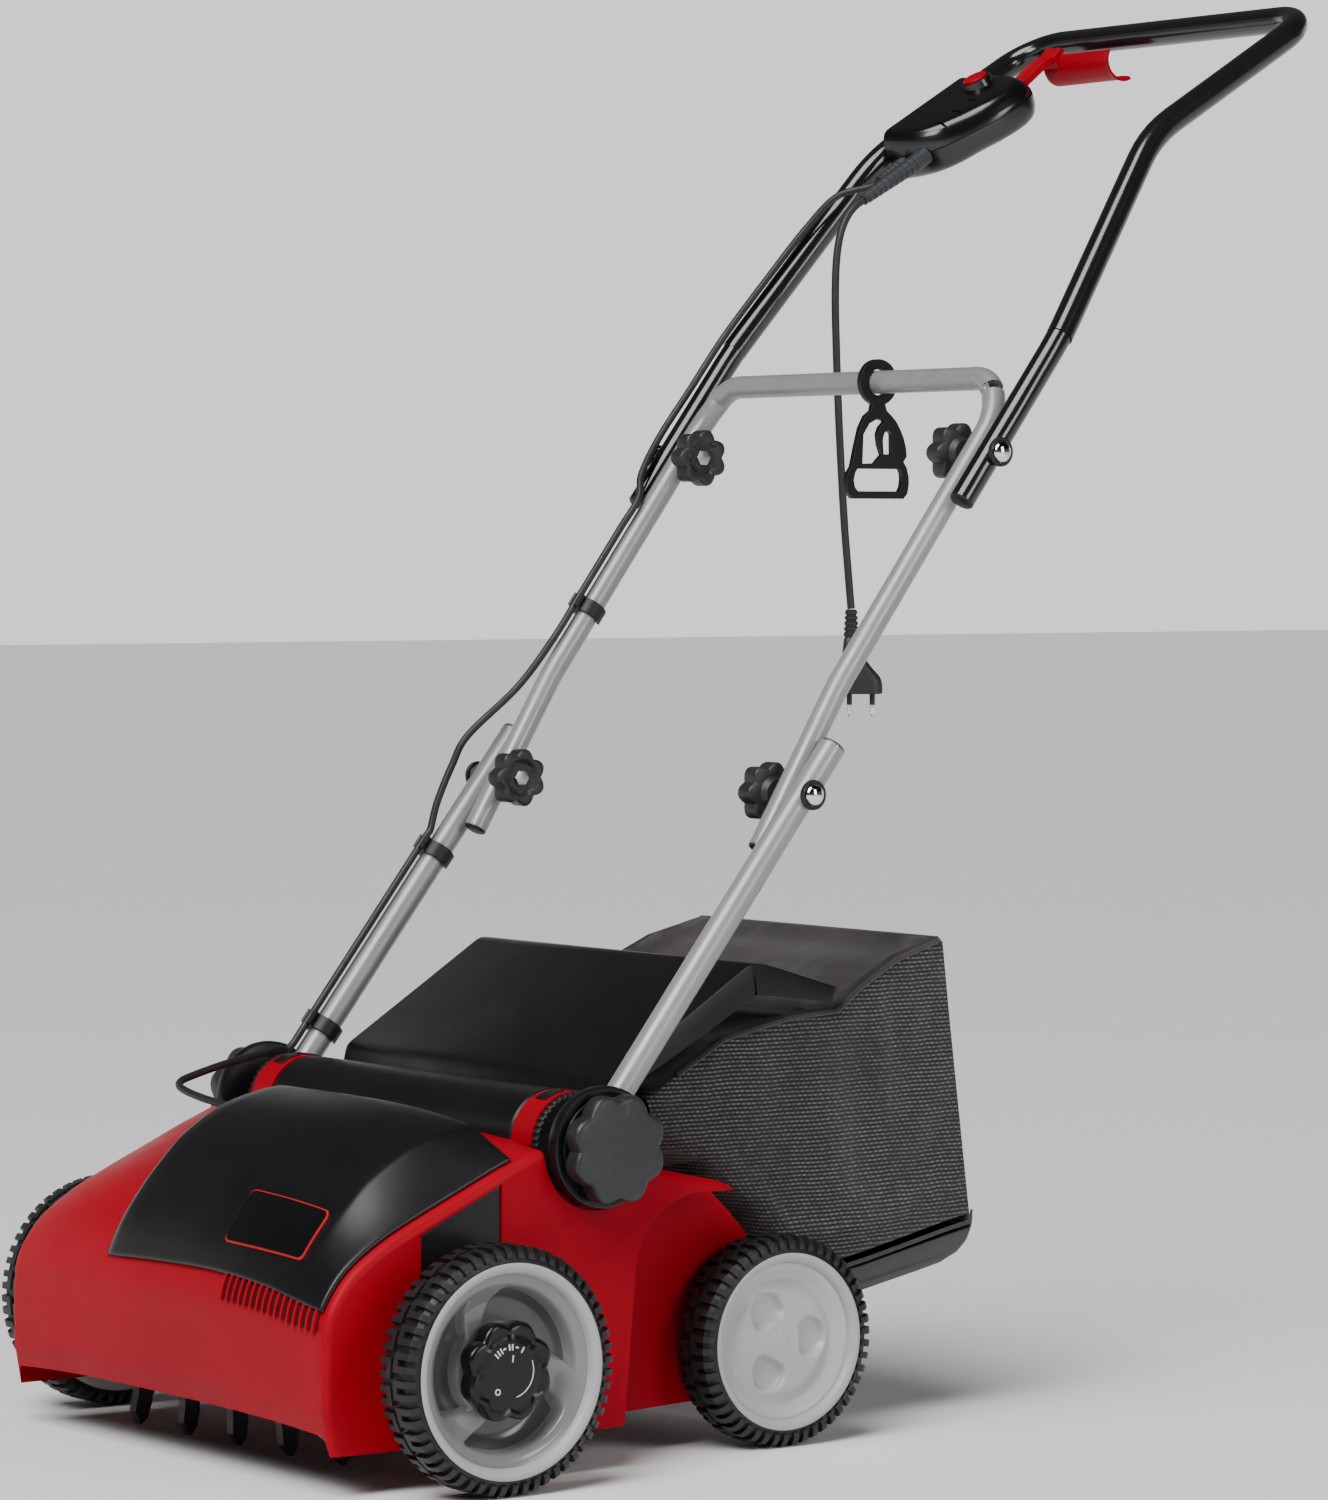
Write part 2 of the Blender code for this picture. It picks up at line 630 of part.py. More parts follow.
def build_front_wheels(grey, rubber, black, dial):
    sides = 40
    flat = math.pi / sides
    for side in (1, -1):
        pivot = (0, 0, FRONT_R)
        tyre = tyre_profile(FRONT_IN_X, FRONT_OUT_X, FRONT_RIM_R + 0.0004,
                            FRONT_R / math.cos(flat))
        add_object(side_name("front_tyre", side), lathe(tyre, 0, FRONT_R, sides, flat), rubber,
                   pivot=pivot, side=side)
        rim = [(0.2530, 0.0066), (0.2530, 0.0140), (0.2620, 0.0160), (0.2620, 0.0640),
               (0.2530, 0.0720), (0.2530, FRONT_RIM_R - 0.0012), (0.2930, FRONT_RIM_R - 0.0012),
               (0.2930, 0.0720), (0.2905, 0.0690), (0.2720, 0.0600), (0.2690, 0.0500),
               (0.2690, 0.0066)]
        add_object(side_name("front_rim", side), lathe(rim, 0, FRONT_R, 28), grey,
                   pivot=pivot, side=side)
        carrier = [(0.2055, 0), (0.2055, 0.0120), (0.2225, 0.0120), (0.2225, 0.0070),
                   (0.2280, 0.0070), (0.2280, 0.0190), (0.2518, 0.0150), (0.2518, 0.0060),
                   (0.2740, 0.0060), (0.2740, 0)]
        add_object(side_name("depth_carrier", side), lathe(carrier, 0, FRONT_R, 20), black,
                   pivot=pivot, side=side)
        knob = depth_knob()
        add_object(side_name("depth_knob", side), knob, dial, pivot=pivot, side=side)


def depth_knob():
    """Lobed dial with a stepped crown, on the end of the wheel's stub axle."""
    lobes, radius, depth = 8, 0.0370, 0.0045
    count = lobes * LOBE_POINTS
    rings = [(0.2745, circle(0, FRONT_R, 0.0200, count)),
             (0.2770, lobed(0, FRONT_R, radius - 0.003, lobes, depth)),
             (0.2800, lobed(0, FRONT_R, radius, lobes, depth)),
             (0.2870, lobed(0, FRONT_R, radius, lobes, depth)),
             (0.2900, lobed(0, FRONT_R, radius - 0.003, lobes, depth)),
             (0.2925, circle(0, FRONT_R, 0.0250, count))]
    return loft([[(x, a, b) for a, b in ring] for x, ring in rings])


def build_rear_wheels(grey, rubber, steel):
    sides = 36
    flat = math.pi / sides
    for side in (1, -1):
        pivot = (0, REAR_AXLE_Y, REAR_R)
        tyre = tyre_profile(REAR_IN_X, REAR_OUT_X, REAR_RIM_R + 0.0004, REAR_R / math.cos(flat))
        add_object(side_name("rear_tyre", side), lathe(tyre, REAR_AXLE_Y, REAR_R, sides, flat),
                   rubber, pivot=pivot, side=side)
        rim = [(0.1850, 0.0054), (0.1850, 0.0120), (0.1960, 0.0150), (0.1960, 0.0520),
               (0.1850, 0.0600), (0.1850, REAR_RIM_R - 0.0012), (0.2232, REAR_RIM_R - 0.0012),
               (0.2232, 0.0600), (0.2205, 0.0570), (0.2080, 0.0480), (0.2105, 0.0300),
               (0.2110, 0), (0.2062, 0), (0.2062, 0.0054)]
        add_object(side_name("rear_rim", side), rear_rim_mesh(rim), grey, pivot=pivot, side=side)
    axle = [(-0.2055, 0), (-0.2055, 0.0050), (0.2055, 0.0050), (0.2055, 0)]
    add_object("rear_axle", lathe(axle, REAR_AXLE_Y, REAR_R, 16), steel,
               pivot=(0, REAR_AXLE_Y, REAR_R))


def rear_rim_mesh(profile):
    """Turn the rim's outline, which reaches its axis on both sides of the closed cap."""
    outer = profile[:12]
    inner = profile[12:] + [profile[0]]
    bm = lathe(outer, REAR_AXLE_Y, REAR_R, 28)
    back = lathe(inner, REAR_AXLE_Y, REAR_R, 28)
    mesh = bpy.data.meshes.new("rim_back")
    back.to_mesh(mesh)
    back.free()
    bm.from_mesh(mesh)
    bpy.data.meshes.remove(mesh)
    bmesh.ops.remove_doubles(bm, verts=bm.verts, dist=0.00001)
    return bm


# ---- handle -------------------------------------------------------------------------------
def along(a, b, distance):
    """(y, z) at a distance from a towards b."""
    start, end = Vector(a), Vector(b)
    return start + (end - start).normalized() * distance


def drill(target, name, y, z, x0, x1, radius=0.0038):
    boolean(target, guide(name, prism(circle(y, z, radius, 12), x0, x1)))


def build_lower_tubes(paint):
    foot = along((PIVOT_Y, PIVOT_Z), P1, -0.0165)
    top = along(P1, (PIVOT_Y, PIVOT_Z), -0.0450)
    for side in (1, -1):
        x = side * LOWER_X
        path = [Vector((x, *foot)), Vector((x, *P1)), Vector((x, *top))]
        tube = add_object(side_name("lower_tube", side), hollow_tube(path, LOWER_R), paint,
                          pivot=(0, PIVOT_Y, PIVOT_Z))
        drill(tube, side_name("cut_pivot", side), PIVOT_Y, PIVOT_Z, x - 0.02, x + 0.02, 0.0048)
        drill(tube, side_name("cut_fold", side), *P1, x - 0.02, x + 0.02)


def mid_path():
    low = along(P1, MID_BEND, -0.0480)
    straight = along(P2, MID_BEND, -0.0400)
    half = [(MID_X, *low), (MID_X, *MID_BEND), (MID_X, *straight), (0.1700, *CROSSBAR)]
    other = [(-x, y, z) for x, y, z in half[::-1]]
    return rounded_path(half + other, [0.20, 0.06, 0.030, 0.030, 0.06, 0.20],
                        math.radians(24))


def build_mid_frame(paint):
    frame = add_object("mid_frame", hollow_tube(mid_path(), MID_R), paint, pivot=(0, *P1))
    for side in (1, -1):
        x = side * MID_X
        drill(frame, side_name("cut_mid_low", side), *P1, x - 0.02, x + 0.02)
        drill(frame, side_name("cut_mid_high", side), *P2, x - 0.02, x + 0.02)


def upper_path():
    low = along(P2, UPPER_BEND, -0.0470)
    straight = along(P2, UPPER_BEND, 0.1150)
    half = [(UPPER_X, *low), (UPPER_X, *straight), (UPPER_TOP_X, *UPPER_BEND),
            (UPPER_TOP_X, *UPPER_TOP)]
    other = [(-x, y, z) for x, y, z in half[::-1]]
    return rounded_path(half + other, [0.20, 0.12, 0.040, 0.040, 0.12, 0.20],
                        math.radians(24))


def build_upper_handle(black):
    handle = add_object("upper_handle", hollow_tube(upper_path(), UPPER_R), black, pivot=(0, *P2))
    for side in (1, -1):
        x = side * UPPER_X
        drill(handle, side_name("cut_upper", side), *P2, x - 0.02, x + 0.02)


def build_fold_hardware(chrome, grey):
    """Dome-headed bolts from outside and star knobs on the inner side of each fold."""
    knob_face = 0.1600
    knob_base = MID_X - MID_R - 0.0030
    for level, (y, z), x_tube, radius in (("lower", P1, LOWER_X, LOWER_R),
                                          ("upper", P2, UPPER_X, UPPER_R)):
        skin = x_tube + radius + GAP
        for side in (1, -1):
            bolt = [(0.1700, 0), (0.1700, 0.0030), (skin, 0.0030), (skin, 0.0110),
                    (skin + 0.0030, 0.0110), (skin + 0.0035, 0.0085), (skin + 0.0065, 0.0060),
                    (skin + 0.0080, 0)]
            add_object(side_name(level + "_bolt", side), lathe(bolt, y, z, 12), chrome,
                       pivot=(0, y, z), side=side)
            knob = star_knob(y, z, knob_base, knob_face, 0.0235, 7, 0.0042, knob_base + 0.0020,
                             0.0100)
            knob = hollow_knob(knob, y, z)
            obj = add_object(side_name(level + "_knob", side), knob, grey, pivot=(0, y, z), side=side)
            hole = lathe([(0.1690, 0), (0.1690, 0.0034), (0.20, 0.0034), (0.20, 0)], y, z, 12)
            if side < 0:
                bmesh.ops.scale(hole, vec=(-1, 1, 1), verts=hole.verts)
            boolean(obj, guide(side_name("cut_%s_knob" % level, side), hole))


def hollow_knob(bm, y, z):
    """Shallow round dish in the knob's face."""
    face = min((f for f in bm.faces if len(f.verts) > 10), key=lambda f: f.calc_center_median().x)
    inset = bmesh.ops.inset_individual(bm, faces=[face], thickness=0.0065, depth=0.0)
    bmesh.ops.translate(bm, vec=(0.0025, 0, 0), verts=face.verts)
    return bm


def clip_outline(r_in, r_out, start, end, steps=10):
    angles = [math.radians(start + (end - start) * i / steps) for i in range(steps + 1)]
    outer = [(r_out * math.cos(a), r_out * math.sin(a)) for a in angles]
    inner = [(r_in * math.cos(a), r_in * math.sin(a)) for a in angles[::-1]]
    return outer + inner


def build_clip(name, x, a, b, distance, tube_r, mat, length=0.012):
    """C-shaped clip round a tube, with a small C on its front side for the lead."""
    start = along(a, b, distance)
    direction = (Vector(b) - Vector(a)).normalized()
    front = Vector((-direction.y, direction.x))
    parts = []
    for outline, shift in ((clip_outline(tube_r + 0.0004, tube_r + 0.0028, -60, 240), 0.0),
                           (clip_outline(LEAD_R + 0.0004, LEAD_R + 0.0022, -215, 35),
                            tube_r + LEAD_R + LEAD_SEAT)):
        rings = []
        for s in (0.0, length):
            centre = start + direction * s
            ring = []
            for across, out in outline:
                point = centre + front * (out + shift)
                ring.append((x + across, point.x, point.y))
            rings.append(ring)
        parts.append(rings)
    clip = add_object(name, loft(parts[0]), mat)
    boolean(clip, guide("join_" + name, loft(parts[1])), "UNION")


# ---- switch box ---------------------------------------------------------------------------
BOX_X = -0.1663               # flat side, against the right tube
BOX_PLAN = [(0.000, 0.000), (0.002, 0.018), (0.008, 0.036), (0.022, 0.052), (0.046, 0.064),
            (0.074, 0.073), (0.100, 0.074), (0.116, 0.066), (0.122, 0.048), (0.120, 0.022),
            (0.112, 0.000)]
BOX_TOP = 0.020
BOX_BOTTOM = -0.021
BOX_TILT = 0.15               # the lid falls this much per metre away from the tube


def box_axes():
    up_slope = (Vector(UPPER_TOP) - Vector(UPPER_BEND)).normalized()
    return up_slope, Vector((-up_slope.y, up_slope.x))


def box_point(length, inward, height):
    """World point from the switch box's own length, width and height."""
    slope, normal = box_axes()
    point = Vector(UPPER_BEND) + slope * (length + 0.004) + normal * height
    return (BOX_X + inward, point.x, point.y)


def box_ring(height, inset, tilt):
    middle = Vector((0.060, 0.034))
    ring = []
    for length, inward in BOX_PLAN:
        spot = Vector((length, inward))
        spot = spot + (middle - spot).normalized() * inset
        if inward == 0:
            spot.y = 0.0
        ring.append(box_point(spot.x, spot.y, height - tilt * spot.y))
    return ring


BUTTON_AT = (0.097, 0.026)    # along the box, and away from the tube


def upright(radius, low, high, sides=20):
    """Cylinder across the lid, centred on the button."""
    length, inward = BUTTON_AT
    along_box = Vector((0, *box_axes()[0]))
    across_box = Vector((1, 0, 0))
    sections = []
    for height in (low, high):
        centre = Vector(box_point(length, inward, height - BOX_TILT * inward))
        angles = [2 * math.pi * i / sides for i in range(sides)]
        sections.append([centre + radius * (math.cos(a) * across_box + math.sin(a) * along_box)
                         for a in angles])
    return loft(sections)


def build_switch_box(black, red, rubber):
    rings = [box_ring(BOX_BOTTOM, 0.012, 0.0), box_ring(BOX_BOTTOM + 0.004, 0.004, 0.0),
             box_ring(-0.006, 0.000, 0.0), box_ring(BOX_TOP - 0.010, 0.001, BOX_TILT),
             box_ring(BOX_TOP - 0.002, 0.005, BOX_TILT), box_ring(BOX_TOP, 0.008, BOX_TILT)]
    box = add_object("switch_box", loft(rings), black, pivot=(0, *P2))
    boolean(box, guide("join_collar", upright(0.0150, BOX_TOP - 0.006, BOX_TOP + 0.004)), "UNION")
    boolean(box, guide("cut_button", upright(0.0112, BOX_TOP - 0.011, BOX_TOP + 0.02)))
    add_object("safety_button", upright(0.0107, BOX_TOP - 0.0045, BOX_TOP + 0.0065), red,
               pivot=box_point(*BUTTON_AT, BOX_TOP))
    pocket = [box_point(*spot) for spot in ((0.070, 0.032, -0.011), (0.140, 0.032, -0.011),
                                            (0.140, 0.032, 0.0120), (0.070, 0.032, 0.0045))]
    far = [(p[0] + 0.024, p[1], p[2]) for p in pocket]
    boolean(box, guide("cut_lever", loft([pocket, far])))
    build_lever(red)
    build_boots(box, rubber)


CORD_BOOT_AT = (0.0365, -0.0065)  # away from the tube, and above the box's middle
LEAD_BOOT_AT = (0.0150, -0.0080)
LEVER_PIVOT = (0.076, -0.0035)  # along the box and above its middle
LEVER_IN = 0.0350             # the lever's arm lies between these distances from the tube
LEVER_OUT = 0.0530
LEVER_THICK = 0.0066
LEVER_ARM = ((0.0735, 0.0000), (0.124, 0.0030), (0.150, 0.0060), (0.1715, 0.0050))
GRIP_AXIS = (0.8505, 1.0840)  # half-round grip under the crossbar
GRIP_OUTER = 0.0165
GRIP_INNER = 0.0140
GRIP_X = (-0.1330, -0.0480)


def build_lever(red):
    """Arm out of the box that turns into a half-round grip under the crossbar."""
    hinge = box_point(LEVER_PIVOT[0], (LEVER_IN + LEVER_OUT) / 2, LEVER_PIVOT[1])
    arm = []
    for length, top in LEVER_ARM:
        corners = ((LEVER_IN, top - LEVER_THICK), (LEVER_IN, top), (LEVER_OUT, top),
                   (LEVER_OUT, top - LEVER_THICK))
        arm.append([box_point(length, inward, height) for inward, height in corners])
    lever = add_object("switch_lever", loft(arm), red, pivot=(0, hinge[1], hinge[2]))
    outline = []
    for radius, order in ((GRIP_OUTER, 1), (GRIP_INNER, -1)):
        angles = [math.radians(a) for a in range(150, 301, 15)]
        arc = [(GRIP_AXIS[0] + radius * math.cos(a), GRIP_AXIS[1] + radius * math.sin(a))
               for a in angles]
        outline += arc[::order]
    boolean(lever, guide("join_grip", prism(outline, *GRIP_X)), "UNION")


def boot_ring(back, inward, height, radius, sides=12):
    """Circle across a boot, at a distance behind the box's front end."""
    centre = Vector(box_point(-back, inward, height))
    slope = Vector((0, *box_axes()[0]))
    side = Vector((1, 0, 0))
    up = slope.cross(side)
    angles = [2 * math.pi * i / sides for i in range(sides)]
    return [centre + radius * (math.cos(a) * side + math.sin(a) * up) for a in angles]


def build_boots(box, rubber):
    """Tapered strain reliefs on the box's front end, for the mains cord and the motor lead."""
    inward, height = CORD_BOOT_AT
    steps = ((-0.010, 0.0075), (0.004, 0.0075), (0.067, 0.0048))
    boot = [boot_ring(back, inward, height, radius) for back, radius in steps]
    add_object("cord_boot", loft(boot), rubber, pivot=(0, *P2))
    seat = [boot_ring(back, inward, height, 0.0079) for back in (-0.0105, 0.0035)]
    boolean(box, guide("cut_cord_boot", loft(seat)))
    inward, height = LEAD_BOOT_AT
    steps = ((-0.004, 0.0060), (0.004, 0.0060), (0.030, 0.0042))
    boot = [boot_ring(back, inward, height, radius) for back, radius in steps]
    boolean(box, guide("join_lead_boot", loft(boot)), "UNION")


# ---- cables -------------------------------------------------------------------------------
def front_of(a, b, distance, x, radius):
    """Point on the front side of a tube, where the lead lies."""
    start = along(a, b, distance)
    direction = (Vector(b) - Vector(a)).normalized()
    front = Vector((-direction.y, direction.x)) * (radius + LEAD_R + LEAD_SEAT)
    return (x, start.x + front.x, start.y + front.y)


def build_motor_lead(black):
    pivot = (PIVOT_Y, PIVOT_Z)
    deck_route = [(COVER_LEFT_X - 0.0004, 0.0000, 0.2475), (-0.095, 0.0000, 0.2490),
                  (-0.130, -0.0030, 0.2530), (-0.160, -0.0020, 0.2575), (-0.178, 0.0080, 0.2610),
                  (-0.187, 0.0280, 0.2650), (-0.195, 0.0600, 0.2710), (-0.205, 0.0950, 0.2755),
                  (-0.211, 0.1180, 0.2790)]
    for distance, slack in ((0.034, 0.0024), (0.042, 0.0), (0.048, 0.0), (0.060, 0.0),
                            (0.075, 0.0), (0.090, 0.0), (0.105, 0.0), (0.120, 0.0)):
        deck_route.append(front_of(pivot, P1, distance, -LOWER_X, LOWER_R + slack))
    cable("motor_lead_deck", deck_route, LEAD_R, 0.0140, black, 1)
    fold_route = [front_of(pivot, P1, distance, -LOWER_X, LOWER_R)
                  for distance in (0.1204, 0.160, 0.200, 0.228, 0.234, 0.248, 0.254)]
    fold_route += [(-0.2135, 0.2700, 0.4700), (-0.2110, 0.2830, 0.5000), (-0.2070, 0.2960, 0.5240)]
    fold_route += [front_of(P1, MID_BEND, 0.075, -0.2010, MID_R + 0.002),
                   front_of(MID_BEND, P2, 0.030, -MID_X, MID_R),
                   front_of(MID_BEND, P2, 0.070, -MID_X, MID_R),
                   front_of(MID_BEND, P2, 0.110, -MID_X, MID_R)]
    cable("motor_lead_lower", fold_route, LEAD_R, 0.0140, black, 1)
    top_route = [front_of(MID_BEND, P2, distance, -MID_X, MID_R)
                 for distance in (0.1104, 0.140, 0.170)]
    top_route += [front_of(P2, UPPER_BEND, -0.030, -0.2040, UPPER_R + 0.002),
                  front_of(P2, UPPER_BEND, 0.010, -UPPER_X, UPPER_R + 0.001),
                  front_of(P2, UPPER_BEND, 0.060, -UPPER_X, UPPER_R),
                  front_of(P2, UPPER_BEND, 0.115, -0.2110, UPPER_R),
                  front_of(P2, UPPER_BEND, 0.180, -0.1980, UPPER_R + 0.001),
                  front_of(P2, UPPER_BEND, 0.230, -0.1860, UPPER_R + 0.0015),
                  front_of(P2, UPPER_BEND, 0.262, -0.1700, UPPER_R + 0.0015)]
    boot_end = box_point(-0.0308, 0.0150, -0.008)
    before = box_point(-0.0400, 0.0150, -0.0078)
    top_route += [before, boot_end]
    cable("motor_lead_upper", top_route, LEAD_R, 0.0140, black, 1)


CORD_ROUTE = [(-0.1298, 0.6385, 0.9631), (-0.1298, 0.6320, 0.9592), (-0.1297, 0.6255, 0.9535),
              (-0.1295, 0.6195, 0.9455), (-0.1292, 0.6145, 0.9345), (-0.1288, 0.6110, 0.9200),
              (-0.1284, 0.6090, 0.9020), (-0.1276, 0.6080, 0.8740), (-0.1262, 0.6084, 0.8300),
              (-0.1248, 0.6094, 0.7850), (-0.1230, 0.6108, 0.7400), (-0.1208, 0.6124, 0.6950),
              (-0.1186, 0.6142, 0.6600), (-0.1168, 0.6154, 0.6350), (-0.1160, 0.6160, 0.6245)]
PLUG_TURN = math.radians(54.3)


# drop below the cord's end, half width, half depth and sideways shift
PLUG_STATIONS = ((0.0, 0.0050, 0.0050, 0.0), (0.022, 0.0068, 0.0062, 0.0),
                 (0.026, 0.0078, 0.0070, 0.0), (0.046, 0.0120, 0.0090, 0.003),
                 (0.052, 0.0170, 0.0105, 0.006), (0.070, 0.0180, 0.0105, 0.008))


def build_cord(black, metal):
    cable("power_cord", CORD_ROUTE, CORD_R, 0.0140, black, 2)
    x, y, top = CORD_ROUTE[-1]
    top -= 0.0004
    wide = Vector((math.cos(PLUG_TURN), math.sin(PLUG_TURN), 0))
    deep = Vector((-math.sin(PLUG_TURN), math.cos(PLUG_TURN), 0))
    rings = []
    for drop, half_wide, half_deep, shift in PLUG_STATIONS:
        centre = Vector((x, y, top - drop)) + wide * shift
        rings.append([centre + wide * half_wide * math.cos(a) + deep * half_deep * math.sin(a)
                      for a in (2 * math.pi * i / 16 for i in range(16))])
    plug = add_object("plug", loft(rings), black, pivot=(0, *P2))
    for k in (-1, 1):
        centre = Vector((x, y, top - 0.060)) + wide * (0.008 + k * 0.0095)
        pin = [[centre + Vector((0, 0, -drop)) + 0.0022 * (wide * math.cos(a) + deep * math.sin(a))
                for a in (2 * math.pi * i / 8 for i in range(8))] for drop in (0.0, 0.029)]
        boolean(plug, guide("join_pin_%d" % (k + 2), loft(pin)), "UNION")


# ---- cord hook ----------------------------------------------------------------------------
def build_cord_hook(black):
    """Flat moulding that hangs on the crossbar by its ring and ends in an open D."""
    y0, z0 = CROSSBAR
    x0, x1 = 0.0255, 0.0310
    ring = [(y0 + 0.0185 * math.cos(a), z0 + 0.0185 * math.sin(a))
            for a in (math.radians(250 - 20 * i) for i in range(17))]
    body = [(0.006, -0.0260), (0.012, -0.0300), (0.0150, -0.0400), (0.0230, -0.0560),
            (0.0290, -0.0640), (0.0310, -0.0790), (0.0270, -0.0930), (-0.0270, -0.0930),
            (-0.0330, -0.0800), (-0.0280, -0.0640), (-0.0180, -0.0400), (-0.0120, -0.0290),
            (-0.0060, -0.0250)]
    outline = ring + [(y0 + a, z0 + b) for a, b in body]
    hook = add_object("cord_hook", prism(outline, x0, x1), black, pivot=(0, y0, z0))
    boolean(hook, guide("cut_hook_ring", prism(circle(y0, z0, MID_R + 0.0012, 20), 0.0, 0.06)))
    loop = [(0.0220, -0.0690), (0.0235, -0.0770), (0.0215, -0.0870), (-0.0220, -0.0870),
            (-0.0255, -0.0790), (-0.0220, -0.0690)]
    boolean(hook, guide("cut_hook_loop", prism([(y0 + a, z0 + b) for a, b in loop], 0.0, 0.06)))
    eye = [(0.0045, -0.0370), (0.0085, -0.0420), (0.0120, -0.0520), (0.0150, -0.0610),
           (-0.0180, -0.0610), (-0.0120, -0.0460), (-0.0070, -0.0370)]
    boolean(hook, guide("cut_hook_eye", prism([(y0 + a, z0 + b) for a, b in eye], 0.0, 0.06)))


# ---- flap and bag -------------------------------------------------------------------------
FLAP_HINGE = (0.1690, 0.2800)
FLAP_HALF = 0.1837


def build_flap(black):
    """Bent plate with a hanging flange on each side."""
    stations = [((0.1650, 0.2830), 0.012), ((0.2000, 0.3050), 0.020), ((0.2904, 0.3621), 0.024),
                ((0.3100, 0.3600), 0.024), ((0.3775, 0.3400), 0.012)]
    half, wall = FLAP_HALF, 0.0025
    rings = []
    for i, ((y, z), hang) in enumerate(stations):
        a = Vector(stations[max(i - 1, 0)][0])
        b = Vector(stations[min(i + 1, len(stations) - 1)][0])
        direction = (b - a).normalized()
        down = Vector((direction.y, -direction.x))
        ring = []
        for x, drop in ((-half, 0), (half, 0), (half, hang), (half - wall, hang), (half - wall, wall),
                        (wall - half, wall), (wall - half, hang), (-half, hang)):
            ring.append((x, y + down.x * drop, z + down.y * drop))
        rings.append(ring)
    add_object("discharge_flap", loft(rings), black, pivot=(0, *FLAP_HINGE))


# (y, z) of the bag's top and bottom edges, in pairs from its mouth to its rear
BAG_EDGES = [((0.2000, 0.2660), (0.2060, 0.2290)), ((0.2720, 0.3070), (0.2560, 0.2140)),
             ((0.3100, 0.3150), (0.3020, 0.1740)), ((0.3400, 0.3210), (0.3280, 0.1140)),
             ((0.3820, 0.3230), (0.3700, 0.1196)), ((0.4050, 0.3390), (0.4040, 0.1245)),
             ((0.4450, 0.3560), (0.4500, 0.1375)), ((0.4920, 0.3660), (0.5210, 0.1560))]
BAG_FLOOR = 3                 # first pair that stands on the tray
BAG_WALL = 0.0030
BAG_CORNER = 0.010
MOUTH_REACH = 0.010           # how far the cut of the hollow runs out of the mouth and the floor


def bag_half(y):
    """Half width of the bag, which narrows towards its rear."""
    return 0.1780 - 0.0190 * max(0.0, min(1.0, (y - 0.36) / 0.14))


def bag_section(top, bottom, inset):
    """Chamfered frame across the bag between two edges."""
    top, bottom = Vector(top), Vector(bottom)
    cut = (bottom - top).normalized() * BAG_CORNER
    ring = []
    for side, spots in ((1, ((top, BAG_CORNER), (top + cut, 0.0), (bottom - cut, 0.0),
                             (bottom, BAG_CORNER))),
                        (-1, ((bottom, BAG_CORNER), (bottom - cut, 0.0), (top + cut, 0.0),
                              (top, BAG_CORNER)))):
        for spot, back in spots:
            ring.append((side * (bag_half(spot.x) - inset - back), spot.x, spot.y))
    return ring


def build_bag(fabric, plastic):
    skin = flat_faced(loft([bag_section(top, bottom, 0.0) for top, bottom in BAG_EDGES]))
    bag = add_object("bag_fabric", skin, fabric)
    sections = []
    last = len(BAG_EDGES) - 1
    for i, (top, bottom) in enumerate(BAG_EDGES):
        top, bottom = Vector(top), Vector(bottom)
        top.y -= BAG_WALL
        if i < BAG_FLOOR:
            bottom.y += BAG_WALL
        else:
            bottom.y -= MOUTH_REACH
        if i == 0:
            top.x -= MOUTH_REACH
            bottom.x -= MOUTH_REACH
        if i == BAG_FLOOR:
            bottom.x += BAG_WALL
        if i == last:
            top.x -= BAG_WALL
            bottom.x -= BAG_WALL
        sections.append(bag_section(top, bottom, BAG_WALL))
    boolean(bag, guide("cut_bag", flat_faced(loft(sections))))
    build_tray(plastic)


def build_tray(plastic):
    """Shallow plastic floor of the bag, open at its top."""
    top = [(0.3270, 0.1130), (0.4040, 0.1235), (0.5205, 0.1550)]
    outline = top + [(0.5170, 0.1360), (0.5040, 0.1210), (0.4100, 0.1040), (0.3330, 0.0930)]
    sections = []
    for share in (-1.0, -0.97, 0.97, 1.0):
        ring = []
        for y, z in outline:
            lift = 0.006 if abs(share) == 1.0 and (y, z) not in top else 0.0
            ring.append((share * bag_half(y), y, z + lift))
        sections.append(ring)
    tray = add_object("bag_tray", loft(sections), plastic)
    hollow = [(0.3310, 0.1600), (0.5175, 0.1800), (0.5140, 0.1390), (0.5010, 0.1245),
              (0.4100, 0.1075), (0.3360, 0.0970)]
    sections = [[(share * (bag_half(y) - 0.0035), y, z) for y, z in hollow] for share in (-1.0, 1.0)]
    boolean(tray, guide("cut_tray", loft(sections)))


